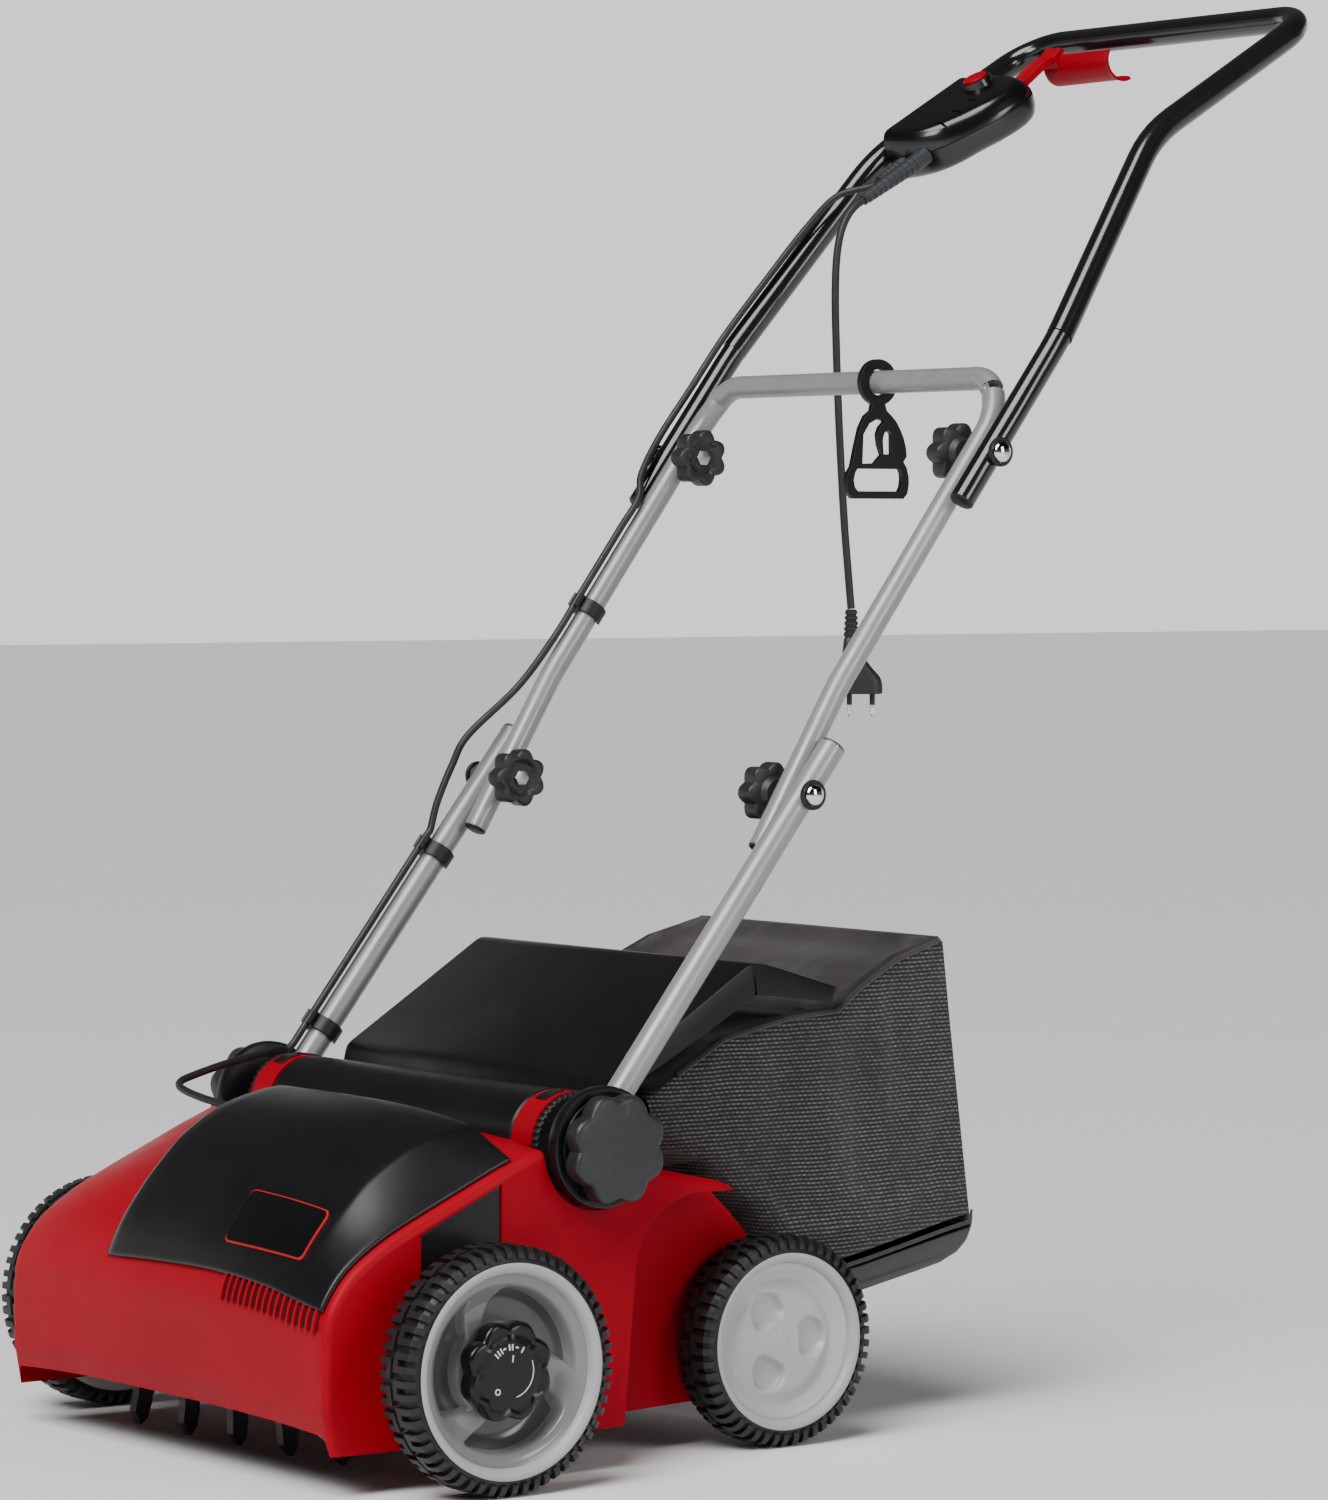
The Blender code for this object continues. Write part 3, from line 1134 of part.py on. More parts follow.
# ---- assembly -----------------------------------------------------------------------------
def build():
    red = material("red_plastic", (0.45, 0.008, 0.010), 0.38)
    black = material("black_plastic", (0.012, 0.012, 0.013), 0.42)
    knob_grey = material("knob_plastic", (0.035, 0.038, 0.045), 0.60)
    wheel_grey = material("wheel_plastic", (0.42, 0.41, 0.42), 0.45)
    tyre = material("tyre_rubber", (0.018, 0.018, 0.019), 0.75)
    rubber = material("cable_rubber", (0.016, 0.016, 0.017), 0.60)
    tube_paint = material("grey_paint", (0.33, 0.32, 0.31), 0.35, 0.3)
    black_paint = material("black_paint", (0.012, 0.012, 0.013), 0.25)
    steel = material("steel", (0.45, 0.45, 0.46), 0.35, 1.0)
    dark_steel = material("motor_steel", (0.10, 0.10, 0.11), 0.45, 0.8)
    alloy = material("die_cast_alloy", (0.50, 0.50, 0.50), 0.50, 0.9)
    chrome = material("chrome", (0.75, 0.75, 0.76), 0.12, 1.0)
    fabric = material("bag_mesh", (0.055, 0.048, 0.050), 0.90)
    tray_plastic = material("tray_plastic", (0.045, 0.045, 0.048), 0.60)

    build_hood(red)
    build_side_inserts(black)
    build_motor_cover(black)
    build_badge(black)
    build_pivots(black, knob_grey)
    build_drive(dark_steel, steel, rubber, alloy)
    build_front_wheels(wheel_grey, tyre, black, knob_grey)
    build_rear_wheels(wheel_grey, tyre, steel)
    build_lower_tubes(tube_paint)
    build_mid_frame(tube_paint)
    build_upper_handle(black_paint)
    build_fold_hardware(chrome, knob_grey)
    pivot = (PIVOT_Y, PIVOT_Z)
    build_clip("cable_clip_base", -LOWER_X, pivot, P1, 0.062, LOWER_R, rubber)
    build_clip("cable_clip_lower", -LOWER_X, pivot, P1, 0.235, LOWER_R, rubber)
    build_clip("cable_clip_mid", -MID_X, MID_BEND, P2, 0.060, MID_R, rubber)
    build_switch_box(black, red, rubber)
    build_motor_lead(rubber)
    build_cord(rubber, steel)
    build_cord_hook(black)
    build_flap(black)
    build_bag(fabric, tray_plastic)


clear_scene()
MACHINE = bpy.data.objects.new("machine", None)
bpy.context.collection.objects.link(MACHINE)
MACHINE.location = (0, FRAME_Y, 0)
build()
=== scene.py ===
"""Looks of the electric lawn dethatcher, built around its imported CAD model.

Sizes are in metres. The design's own y is counted from the front axle, and add() moves every
piece into the frame of the model. Side 1 is +X, the side of the motor cover; side -1 mirrors.
"""
import math

import bmesh
import bpy
from mathutils import Matrix, Vector, noise


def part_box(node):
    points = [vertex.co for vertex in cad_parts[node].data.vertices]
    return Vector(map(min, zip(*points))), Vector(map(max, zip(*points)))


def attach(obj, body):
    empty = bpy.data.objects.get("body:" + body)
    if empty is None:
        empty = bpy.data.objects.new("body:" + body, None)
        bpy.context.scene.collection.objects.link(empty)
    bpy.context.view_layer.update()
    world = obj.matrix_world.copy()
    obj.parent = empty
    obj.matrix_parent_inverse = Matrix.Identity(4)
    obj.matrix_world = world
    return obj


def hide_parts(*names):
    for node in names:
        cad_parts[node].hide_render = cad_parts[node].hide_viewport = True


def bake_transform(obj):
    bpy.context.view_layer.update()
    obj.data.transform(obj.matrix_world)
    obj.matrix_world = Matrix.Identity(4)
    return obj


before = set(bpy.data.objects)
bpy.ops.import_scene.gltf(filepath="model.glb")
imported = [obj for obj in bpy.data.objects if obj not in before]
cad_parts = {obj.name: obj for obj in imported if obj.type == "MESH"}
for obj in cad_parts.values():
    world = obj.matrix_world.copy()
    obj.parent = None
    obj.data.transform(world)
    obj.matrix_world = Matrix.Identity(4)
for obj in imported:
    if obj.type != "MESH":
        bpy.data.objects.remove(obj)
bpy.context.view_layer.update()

# ---- places taken from the frame ----------------------------------------------------------
_low, _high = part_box("front_tyre_left")
AXLE_Y = (_low.y + _high.y) / 2
FRONT_R = _high.z / 2
FRONT_IN_X, FRONT_OUT_X = _low.x, _high.x
_low, _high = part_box("rear_tyre_left")
REAR_Y = (_low.y + _high.y) / 2 - AXLE_Y
REAR_R = _high.z / 2
REAR_IN_X, REAR_OUT_X = _low.x, _high.x
_low, _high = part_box("deck_housing")
DECK_HALF = _high.x
_low, _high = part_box("cross_cover")
CROSS_HALF = _high.x
CROSS_R = (_high.z - _low.z) / 2
PIVOT = ((_low.y + _high.y) / 2 - AXLE_Y, (_low.z + _high.z) / 2)

# ---- the design's driving dimensions ------------------------------------------------------
LOWER_X, LOWER_R = 0.2135, 0.0105
MID_X, MID_R = 0.1926, 0.00925
UPPER_X, UPPER_R = 0.2128, 0.0100
TUBE_WALL = 0.0015
TUBE_SIDES = 28
BEND_STEP = math.radians(6)
P1 = (0.3177, 0.4901)
P2 = (0.4985, 0.7488)
MID_BEND = (0.3660, 0.5700)
CROSSBAR = (0.5313, 0.8070)
UPPER_BEND = (0.6894, 1.0012)
UPPER_TOP = (0.8613, 1.1043)
UPPER_TOP_X = 0.1773
LEAD_R = 0.0030
LEAD_SEAT = 0.0034


# ---- materials ----------------------------------------------------------------------------
def map_range(tree, value, limits, kind="LINEAR"):
    """Map a node's value, clamped, from one range to another."""
    node = tree.nodes.new("ShaderNodeMapRange")
    node.interpolation_type = kind
    for socket, limit in zip(("From Min", "From Max", "To Min", "To Max"), limits):
        node.inputs[socket].default_value = limit
    tree.links.new(value, node.inputs["Value"])
    return node.outputs["Result"]


class Shader:
    """A Principled material whose colour, roughness and bump come from object-space textures."""

    def __init__(self, name, colour, roughness, metallic=0.0, coat=0.0, specular=0.5):
        self.mat = bpy.data.materials.new(name)
        self.mat.use_nodes = True
        self.tree = self.mat.node_tree
        self.nodes = self.tree.nodes
        self.bsdf = self.nodes["Principled BSDF"]
        self.colour = colour
        self.bsdf.inputs["Base Color"].default_value = (*colour, 1)
        self.bsdf.inputs["Roughness"].default_value = roughness
        self.bsdf.inputs["Metallic"].default_value = metallic
        self.bsdf.inputs["Specular IOR Level"].default_value = specular
        self.bsdf.inputs["Coat Weight"].default_value = coat
        self.bsdf.inputs["Coat Roughness"].default_value = 0.12
        self.coords = self.nodes.new("ShaderNodeTexCoord").outputs["Object"]
        self.colour_out = None
        self.height_out = None

    def link(self, a, b):
        self.tree.links.new(a, b)

    def math(self, kind, a, b=0.0):
        node = self.nodes.new("ShaderNodeMath")
        node.operation = kind
        for slot, value in zip(node.inputs, (a, b)):
            if isinstance(value, (int, float)):
                slot.default_value = value
            else:
                self.link(value, slot)
        return node.outputs[0]

    def texture(self, kind, vector=None, **values):
        """Node that reads the object's own coordinates; values name its other inputs."""
        node = self.nodes.new(kind)
        for socket, value in values.items():
            node.inputs[socket].default_value = value
        self.link(vector or self.coords, node.inputs["Vector"])
        return node.outputs

    def scaled(self, scale):
        return self.texture("ShaderNodeMapping", Scale=scale)["Vector"]

    def noise(self, scale, detail=4.0, rough=0.55, vector=None):
        return self.texture("ShaderNodeTexNoise", vector, Scale=scale, Detail=detail,
                            Roughness=rough)["Fac"]

    def cells(self, scale):
        return self.texture("ShaderNodeTexVoronoi", Scale=scale)["Distance"]

    def stretch(self, value, low, high, to_low=0.0, to_high=1.0):
        return map_range(self.tree, value, (low, high, to_low, to_high))

    def tint(self, fac, colour, strength=1.0):
        """Mix a colour in where fac is high."""
        node = self.nodes.new("ShaderNodeMix")
        node.data_type = "RGBA"
        self.link(self.math("MULTIPLY", fac, strength), node.inputs["Factor"])
        if self.colour_out is None:
            node.inputs[6].default_value = (*self.colour, 1)
        else:
            self.link(self.colour_out, node.inputs[6])
        node.inputs[7].default_value = (*colour, 1)
        self.colour_out = node.outputs[2]
        self.link(self.colour_out, self.bsdf.inputs["Base Color"])
        return self

    def shine(self, fac, low, high):
        """Roughness from low to high over the range of fac."""
        self.link(self.stretch(fac, 0.3, 0.7, low, high), self.bsdf.inputs["Roughness"])
        return self

    def bump(self, height, strength, distance):
        node = self.nodes.new("ShaderNodeBump")
        node.inputs["Strength"].default_value = strength
        node.inputs["Distance"].default_value = distance
        self.link(height, node.inputs["Height"])
        if self.height_out is not None:
            self.link(self.height_out, node.inputs["Normal"])
        self.height_out = node.outputs["Normal"]
        self.link(self.height_out, self.bsdf.inputs["Normal"])
        if self.bsdf.inputs["Coat Weight"].default_value > 0:
            self.link(self.height_out, self.bsdf.inputs["Coat Normal"])
        return self


def moulded(name, colour, roughness, grain=0.00003, grain_scale=1400, coat=0.0, dust=0.0,
            specular=0.5):
    """Moulded plastic: uneven gloss, slight flow marks, fine grain and a little dust."""
    s = Shader(name, colour, roughness, coat=coat, specular=specular)
    flow = s.noise(7, 3, 0.5)
    s.tint(s.stretch(flow, 0.35, 0.75), tuple(c * 0.72 for c in colour), 0.6)
    s.tint(s.stretch(s.noise(38, 5), 0.55, 0.85), tuple(min(1, c * 1.25) for c in colour), 0.3)
    if dust:
        s.tint(s.stretch(s.noise(90, 6, 0.7), 0.55, 0.85), (0.30, 0.28, 0.25), dust)
    s.shine(s.noise(24, 5, 0.6), roughness * 0.90, min(1.0, roughness * 1.14))
    s.bump(s.noise(grain_scale, 2), 0.6, grain)
    s.bump(s.noise(15, 2), 0.35, 0.0002)
    return s.mat


def painted_tube(name, colour, roughness, coat, metallic=0.0):
    """Powder coat: orange peel, small chips and scuffs."""
    s = Shader(name, colour, roughness, metallic=metallic, coat=coat)
    s.tint(s.stretch(s.noise(18, 4), 0.35, 0.7), tuple(c * 0.78 for c in colour), 0.5)
    scuff = s.noise(1.0, 6, 0.65, vector=s.scaled((60, 22, 22)))
    s.tint(s.stretch(scuff, 0.60, 0.80), tuple(min(1, c * 1.3 + 0.002) for c in colour), 0.3)
    s.shine(s.noise(45, 4), roughness * 0.8, roughness * 1.25)
    s.bump(s.noise(260, 2), 0.4, 0.00003)
    return s.mat


def bare_metal(name, colour, roughness, brush=(4, 260, 260)):
    """Turned or plated metal with fine brush marks and faint staining."""
    s = Shader(name, colour, roughness, metallic=1.0)
    s.tint(s.stretch(s.noise(60, 5), 0.5, 0.8), tuple(c * 0.6 for c in colour), 0.45)
    line = s.noise(6, 3, 0.6, vector=s.scaled(brush))
    s.shine(line, roughness * 0.7, roughness * 1.5)
    s.bump(line, 0.3, 0.00005)
    return s.mat


def rubber_like(name, colour, roughness, dust=0.25):
    s = Shader(name, colour, roughness)
    s.tint(s.stretch(s.noise(55, 6, 0.7), 0.5, 0.78), (0.085, 0.080, 0.072), dust)
    s.shine(s.noise(80, 4), roughness * 0.85, min(1, roughness * 1.2))
    s.bump(s.noise(900, 3), 0.6, 0.00006)
    return s.mat


def brushed_cloth(name, colour):
    """Close, slightly furry cloth with soft mottling."""
    s = Shader(name, colour, 0.95)
    s.tint(s.stretch(s.noise(38, 6, 0.7), 0.42, 0.72), tuple(min(1, c * 2.0) for c in colour), 0.5)
    s.tint(s.stretch(s.noise(11, 4), 0.45, 0.75), tuple(c * 0.5 for c in colour), 0.5)
    s.bump(s.noise(700, 4, 0.7), 0.7, 0.0004)
    s.bump(s.noise(60, 4), 0.4, 0.0012)
    s.bsdf.inputs["Sheen Weight"].default_value = 0.35
    s.bsdf.inputs["Sheen Roughness"].default_value = 0.55
    return s.mat


def leather_grain(name, colour, roughness):
    """Plastic with a coarse eroded texture, as on the knobs."""
    s = Shader(name, colour, roughness)
    s.tint(s.stretch(s.noise(120, 5), 0.4, 0.75), tuple(min(1, c * 1.9) for c in colour), 0.5)
    s.bump(s.cells(900), 0.55, 0.00014)
    s.bump(s.noise(1500, 2), 0.5, 0.00008)
    s.shine(s.noise(70, 4), roughness * 0.85, roughness * 1.2)
    return s.mat


RED = moulded("red_hood", (0.34, 0.0, 0.0105), 0.42, grain=0.00002, specular=0.09)
BLACK = moulded("black_satin", (0.0062, 0.0060, 0.0064), 0.34, grain=0.00005, dust=0.03,
                specular=0.34)
BLACK_GLOSS = moulded("black_gloss", (0.0050, 0.0048, 0.0054), 0.22, grain=0.00001, coat=0.3)
BLACK_MATT = moulded("black_ribbed", (0.010, 0.010, 0.011), 0.48, grain=0.00008, dust=0.05,
                     specular=0.4)
KNOB = leather_grain("knob_grain", (0.015, 0.016, 0.018), 0.42)
DIAL = moulded("dial_black", (0.0050, 0.0050, 0.0056), 0.24, grain=0.00002, specular=0.35)
# Darker grey for the sheets on the comma recesses' floors: painted shade in the recesses.
COMMA_SHADE = moulded("wheel_well", (0.085, 0.083, 0.087), 0.20, coat=0.2)
RING = moulded("wheel_ring", (0.44, 0.43, 0.44), 0.42, grain=0.00005, dust=0.10)
DISC = moulded("wheel_disc", (0.22, 0.217, 0.225), 0.22, coat=0.25, dust=0.03)
REAR_DISC = moulded("rear_disc", (0.50, 0.49, 0.50), 0.34, coat=0.1, dust=0.06)
TYRE = rubber_like("tyre", (0.0080, 0.0080, 0.0080), 0.50, dust=0.12)
RUBBER = rubber_like("cable", (0.012, 0.012, 0.013), 0.48, dust=0.10)
BOOT = rubber_like("boot", (0.026, 0.029, 0.034), 0.48, dust=0.10)
GREY_TUBE = painted_tube("grey_tube", (0.30, 0.29, 0.285), 0.32, 0.25, metallic=0.15)
BLACK_TUBE = painted_tube("black_tube", (0.0095, 0.0095, 0.0105), 0.16, 0.5)
CHROME = bare_metal("chrome", (0.78, 0.78, 0.79), 0.09)
STEEL = bare_metal("steel", (0.46, 0.46, 0.47), 0.34)
DARK_STEEL = bare_metal("dark_steel", (0.055, 0.053, 0.052), 0.42)
ALLOY = bare_metal("alloy", (0.50, 0.50, 0.50), 0.48, brush=(120, 120, 120))
PAINTED_CAN = painted_tube("motor_can", (0.06, 0.06, 0.065), 0.40, 0.1)
WHITE_MARK = moulded("dial_white", (0.75, 0.75, 0.74), 0.5)
RED_LINE = moulded("badge_line", (0.55, 0.01, 0.012), 0.4)
PIPING = brushed_cloth("bag_piping", (0.014, 0.012, 0.012))
TRAY = moulded("bag_tray", (0.038, 0.038, 0.041), 0.46, grain=0.00012, grain_scale=700, dust=0.08)


# ---- mesh helpers -------------------------------------------------------------------------
def skin_rings(bm, a, b):
    """Faces between two equal closed rings of vertices."""
    for i in range(len(a)):
        j = (i + 1) % len(a)
        bm.faces.new((a[i], a[j], b[j], b[i]))


def loft(sections):
    """Closed solid through equal rings of points."""
    bm = bmesh.new()
    rings = [[bm.verts.new(p) for p in ring] for ring in sections]
    for a, b in zip(rings, rings[1:]):
        skin_rings(bm, a, b)
    bm.faces.new(rings[0])
    bm.faces.new(rings[-1])
    return bm


def prism(outline, x0, x1):
    return loft([[(x, y, z) for y, z in outline] for x in (x0, x1)])


def block(low, high):
    corners = [(low[1], low[2]), (high[1], low[2]), (high[1], high[2]), (low[1], high[2])]
    return prism(corners, low[0], high[0])


def circle(y, z, radius, sides, turn=0.0):
    step = 2 * math.pi / sides
    return [(y + radius * math.cos(i * step + turn), z + radius * math.sin(i * step + turn))
            for i in range(sides)]


def arc(y, z, radius, start, end, steps):
    """Points from one angle to another, in degrees."""
    angles = [math.radians(start + (end - start) * i / steps) for i in range(steps + 1)]
    return [(y + radius * math.cos(a), z + radius * math.sin(a)) for a in angles]


def spot_round(x, y, z, radius, angle):
    """Point at a radius and angle round the line along X through (y, z)."""
    return x, y + radius * math.cos(angle), z + radius * math.sin(angle)


def lathe(profile, y, z, sides, shape=None):
    """Turn (x, radius) points about the line through (y, z); shape(x, radius, angle) bends it."""
    bm = bmesh.new()
    rings = []
    for x, radius in profile:
        if radius == 0:
            rings.append([bm.verts.new((x, y, z))])
            continue
        ring = []
        for i in range(sides):
            angle = 2 * math.pi * i / sides
            px, pr = shape(x, radius, angle) if shape else (x, radius)
            ring.append(bm.verts.new(spot_round(px, y, z, pr, angle)))
        rings.append(ring)
    closed = all(radius > 0 for _, radius in profile)
    for a, b in list(zip(rings, rings[1:])) + ([(rings[-1], rings[0])] if closed else []):
        for i in range(sides):
            j = (i + 1) % sides
            corners = (a[i % len(a)], a[j % len(a)], b[j % len(b)], b[i % len(b)])
            unique = list(dict.fromkeys(corners))
            if len(unique) > 2:
                bm.faces.new(unique)
    return bm


def rounded_path(corners, radii):
    """Polyline whose inner corners become arcs of the given radii."""
    points = [Vector(corners[0])]
    for before, corner, after, radius in zip(corners, corners[1:], corners[2:], radii):
        corner = Vector(corner)
        a = (Vector(before) - corner).normalized()
        b = (Vector(after) - corner).normalized()
        turn = math.pi - a.angle(b)
        back = radius * math.tan(turn / 2)
        start = corner + a * back
        centre = corner + (a + b).normalized() * radius / math.cos(turn / 2)
        count = max(2, math.ceil(turn / BEND_STEP))
        axis = (start - centre).cross(corner + b * back - centre).normalized()
        for i in range(count + 1):
            points.append(centre + Matrix.Rotation(turn * i / count, 3, axis) @ (start - centre))
    points.append(Vector(corners[-1]))
    return points


def sweep_rings(points, radius, sides):
    points = [Vector(p) for p in points]
    radii = radius if isinstance(radius, list) else [radius] * len(points)
    tangents = []
    for i, point in enumerate(points):
        before, after = points[max(i - 1, 0)], points[min(i + 1, len(points) - 1)]
        tangents.append(((point - before).normalized() + (after - point).normalized()).normalized())
    across = tangents[0].orthogonal().normalized()
    rings = []
    for point, tangent, r in zip(points, tangents, radii):
        across = (across - tangent * across.dot(tangent)).normalized()
        other = tangent.cross(across)
        rings.append([point + r * (math.cos(a) * across + math.sin(a) * other)
                      for a in (2 * math.pi * i / sides for i in range(sides))])
    return rings


def rod(points, radius, sides=20):
    """Solid bar along a path; radius may be a list."""
    return loft(sweep_rings(points, radius, sides))


def hollow_tube(points, radius, wall=TUBE_WALL):
    """Tube along a path, open at both ends."""
    bm = bmesh.new()
    outer, inner = ([[bm.verts.new(p) for p in ring] for ring in sweep_rings(points, r, TUBE_SIDES)]
                    for r in (radius, radius - wall))
    for rings in (outer, inner):
        for a, b in zip(rings, rings[1:]):
            skin_rings(bm, a, b)
    for end in (0, -1):
        skin_rings(bm, outer[end], inner[end])
    return bm


def smooth_curve(knots, per=8):
    """Smooth line of points through the given ones, of any number of coordinates."""
    knots = [tuple(k) for k in knots]
    first = tuple(2 * a - b for a, b in zip(knots[0], knots[1]))
    last = tuple(2 * a - b for a, b in zip(knots[-1], knots[-2]))
    knots = [first] + knots + [last]
    out = []
    for a, b, c, d in zip(knots, knots[1:], knots[2:], knots[3:]):
        for i in range(per):
            t = i / per
            out.append(tuple(0.5 * (2 * q + (r - p) * t + (2 * p - 5 * q + 4 * r - s) * t * t
                                    + (3 * q - p - 3 * r + s) * t ** 3)
                             for p, q, r, s in zip(a, b, c, d)))
    out.append(knots[-2])
    return out


def even_points(route, spacing):
    """Evenly spaced points along a smooth curve through the route."""
    dense = [Vector(p) for p in smooth_curve(route, 16)]
    lengths = [0.0]
    for a, b in zip(dense, dense[1:]):
        lengths.append(lengths[-1] + (b - a).length)
    count = max(2, round(lengths[-1] / spacing))
    points, k = [], 0
    for i in range(count + 1):
        wanted = lengths[-1] * i / count
        while k < len(dense) - 2 and lengths[k + 1] < wanted:
            k += 1
        share = (wanted - lengths[k]) / (lengths[k + 1] - lengths[k])
        points.append(dense[k].lerp(dense[k + 1], min(1.0, share)))
    return points


def ease(value, low, high):
    """0 below low, 1 above high and a smooth step between."""
    t = max(0.0, min(1.0, (value - low) / (high - low)))
    return t * t * (3 - 2 * t)


def mirror_x(bm, side):
    """Mirror a mesh in place for the side at -X."""
    if side < 0:
        bmesh.ops.scale(bm, vec=(-1, 1, 1), verts=bm.verts)
    return bm


def merged(parts):
    """One mesh that holds several."""
    whole = bmesh.new()
    for part in parts:
        mesh = bpy.data.meshes.new("part")
        part.to_mesh(mesh)
        part.free()
        whole.from_mesh(mesh)
        bpy.data.meshes.remove(mesh)
    return whole


def link(obj):
    bpy.context.scene.collection.objects.link(obj)
    return obj


def to_mesh(name, bm):
    """Mesh with its faces turned out; the bmesh is used up."""
    bmesh.ops.recalc_face_normals(bm, faces=bm.faces)
    mesh = bpy.data.meshes.new(name)
    bm.to_mesh(mesh)
    bm.free()
    return mesh


def finish_mesh(mesh, mat, sharp):
    """Move a mesh of the design into the frame of the model, shade it and give it its look."""
    mesh.transform(Matrix.Translation((0, AXLE_Y, 0)))
    shade(mesh, mat, sharp)


def shade(mesh, mat, sharp):
    mesh.shade_smooth()
    mesh.set_sharp_from_angle(angle=math.radians(sharp))
    mesh.materials.append(mat)


def add(name, bm, mat, body, stands_for=(), side=1, sharp=32, bevel=0.0, segments=2,
        angle=38):
    """Turn a mesh of the design into a finished piece that rides on a body."""
    mesh = to_mesh(name, mirror_x(bm, side))
    finish_mesh(mesh, mat, sharp)
    obj = link(bpy.data.objects.new(name, mesh))
    if bevel:
        mod = obj.modifiers.new("soft_edges", "BEVEL")
        mod.width = bevel
        mod.segments = segments
        mod.limit_method = "ANGLE"
        mod.angle_limit = math.radians(angle)
        mod.use_clamp_overlap = True
        mod.harden_normals = True
    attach(obj, body)
    if stands_for:
        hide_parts(*stands_for)
    return obj


def carve(name, solid, cuts, joins=()):
    """Boolean a solid mesh in design space and give back the result as a mesh."""
    base = plain_object("base_" + name, solid)
    tools = []
    for kind, shapes in (("DIFFERENCE", cuts), ("UNION", joins)):
        for shape in shapes:
            tool = plain_object("tool_" + name, shape)
            tools.append(tool)
            mod = base.modifiers.new("cut", "BOOLEAN")
            mod.operation = kind
            mod.solver = "EXACT"
            mod.object = tool
    bpy.context.view_layer.update()
    graph = bpy.context.evaluated_depsgraph_get()
    result = bmesh.new()
    result.from_mesh(base.evaluated_get(graph).to_mesh())
    for old in [base] + tools:
        bpy.data.objects.remove(old)
    bmesh.ops.remove_doubles(result, verts=result.verts, dist=0.00002)
    return result


def plain_object(name, bm):
    return link(bpy.data.objects.new(name, to_mesh(name, bm)))


def tag(stem, side):
    return stem + ("_left" if side > 0 else "_right")


def paint_node(node, mat):
    """Finish for a CAD node that is shown as it is."""
    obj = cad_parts[node]
    obj.data.materials.clear()
    obj.data.materials.append(mat)


# ---- camera -------------------------------------------------------------------------------
CAMERA_AT = (3.6616, -2.2816 + AXLE_Y, 0.6789)
CAMERA_DIP = 0.0359      # radians below the horizon
CAMERA_TURN = 0.9479
SENSOR_WIDTH, FOCAL_LENGTH = 36.0, 137.97
LENS_SHIFT = (-0.0043, -0.0003)


def build_camera():
    data = bpy.data.cameras.new("camera")
    data.sensor_width = SENSOR_WIDTH
    data.lens = FOCAL_LENGTH
    data.shift_x, data.shift_y = LENS_SHIFT
    camera = link(bpy.data.objects.new("camera", data))
    camera.location = CAMERA_AT
    camera.rotation_euler = (math.pi / 2 - CAMERA_DIP, 0.0, CAMERA_TURN)
    bpy.context.scene.camera = camera


build_camera()


# ---- mains cord, plug and boot ------------------------------------------------------------
CORD_D = 0.0065
CORD_ROUTE = [(-0.1298, 0.6385, 0.9631), (-0.1298, 0.6320, 0.9592), (-0.1297, 0.6255, 0.9535),
              (-0.1295, 0.6195, 0.9455), (-0.1292, 0.6145, 0.9345), (-0.1288, 0.6110, 0.9200),
              (-0.1284, 0.6090, 0.9020), (-0.1276, 0.6080, 0.8740), (-0.1262, 0.6084, 0.8300),
              (-0.1248, 0.6094, 0.7850), (-0.1230, 0.6108, 0.7400), (-0.1208, 0.6124, 0.6950),
              (-0.1186, 0.6142, 0.6600), (-0.1168, 0.6154, 0.6350), (-0.1160, 0.6160, 0.6245)]
CORD_SPACING = 0.006
PLUG_TURN = math.radians(54.3)    # way the flat of the plug faces


def flex(name, route, diameter, mat, body, nodes):
    """Round cable on a curve along a smooth route."""
    curve = bpy.data.curves.new(name, "CURVE")
    curve.dimensions = "3D"
    curve.bevel_depth = diameter / 2
    curve.bevel_resolution = 5
    curve.use_fill_caps = True
    points = even_points(route, CORD_SPACING)
    spline = curve.splines.new("POLY")
    spline.points.add(len(points) - 1)
    for slot, point in zip(spline.points, points):
        slot.co = (point.x, point.y + AXLE_Y, point.z, 1.0)
    spline.use_smooth = True
    curve.materials.append(mat)
    obj = link(bpy.data.objects.new(name, curve))
    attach(obj, body)
    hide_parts(*nodes)
    return obj, sum((b - a).length for a, b in zip(points, points[1:]))


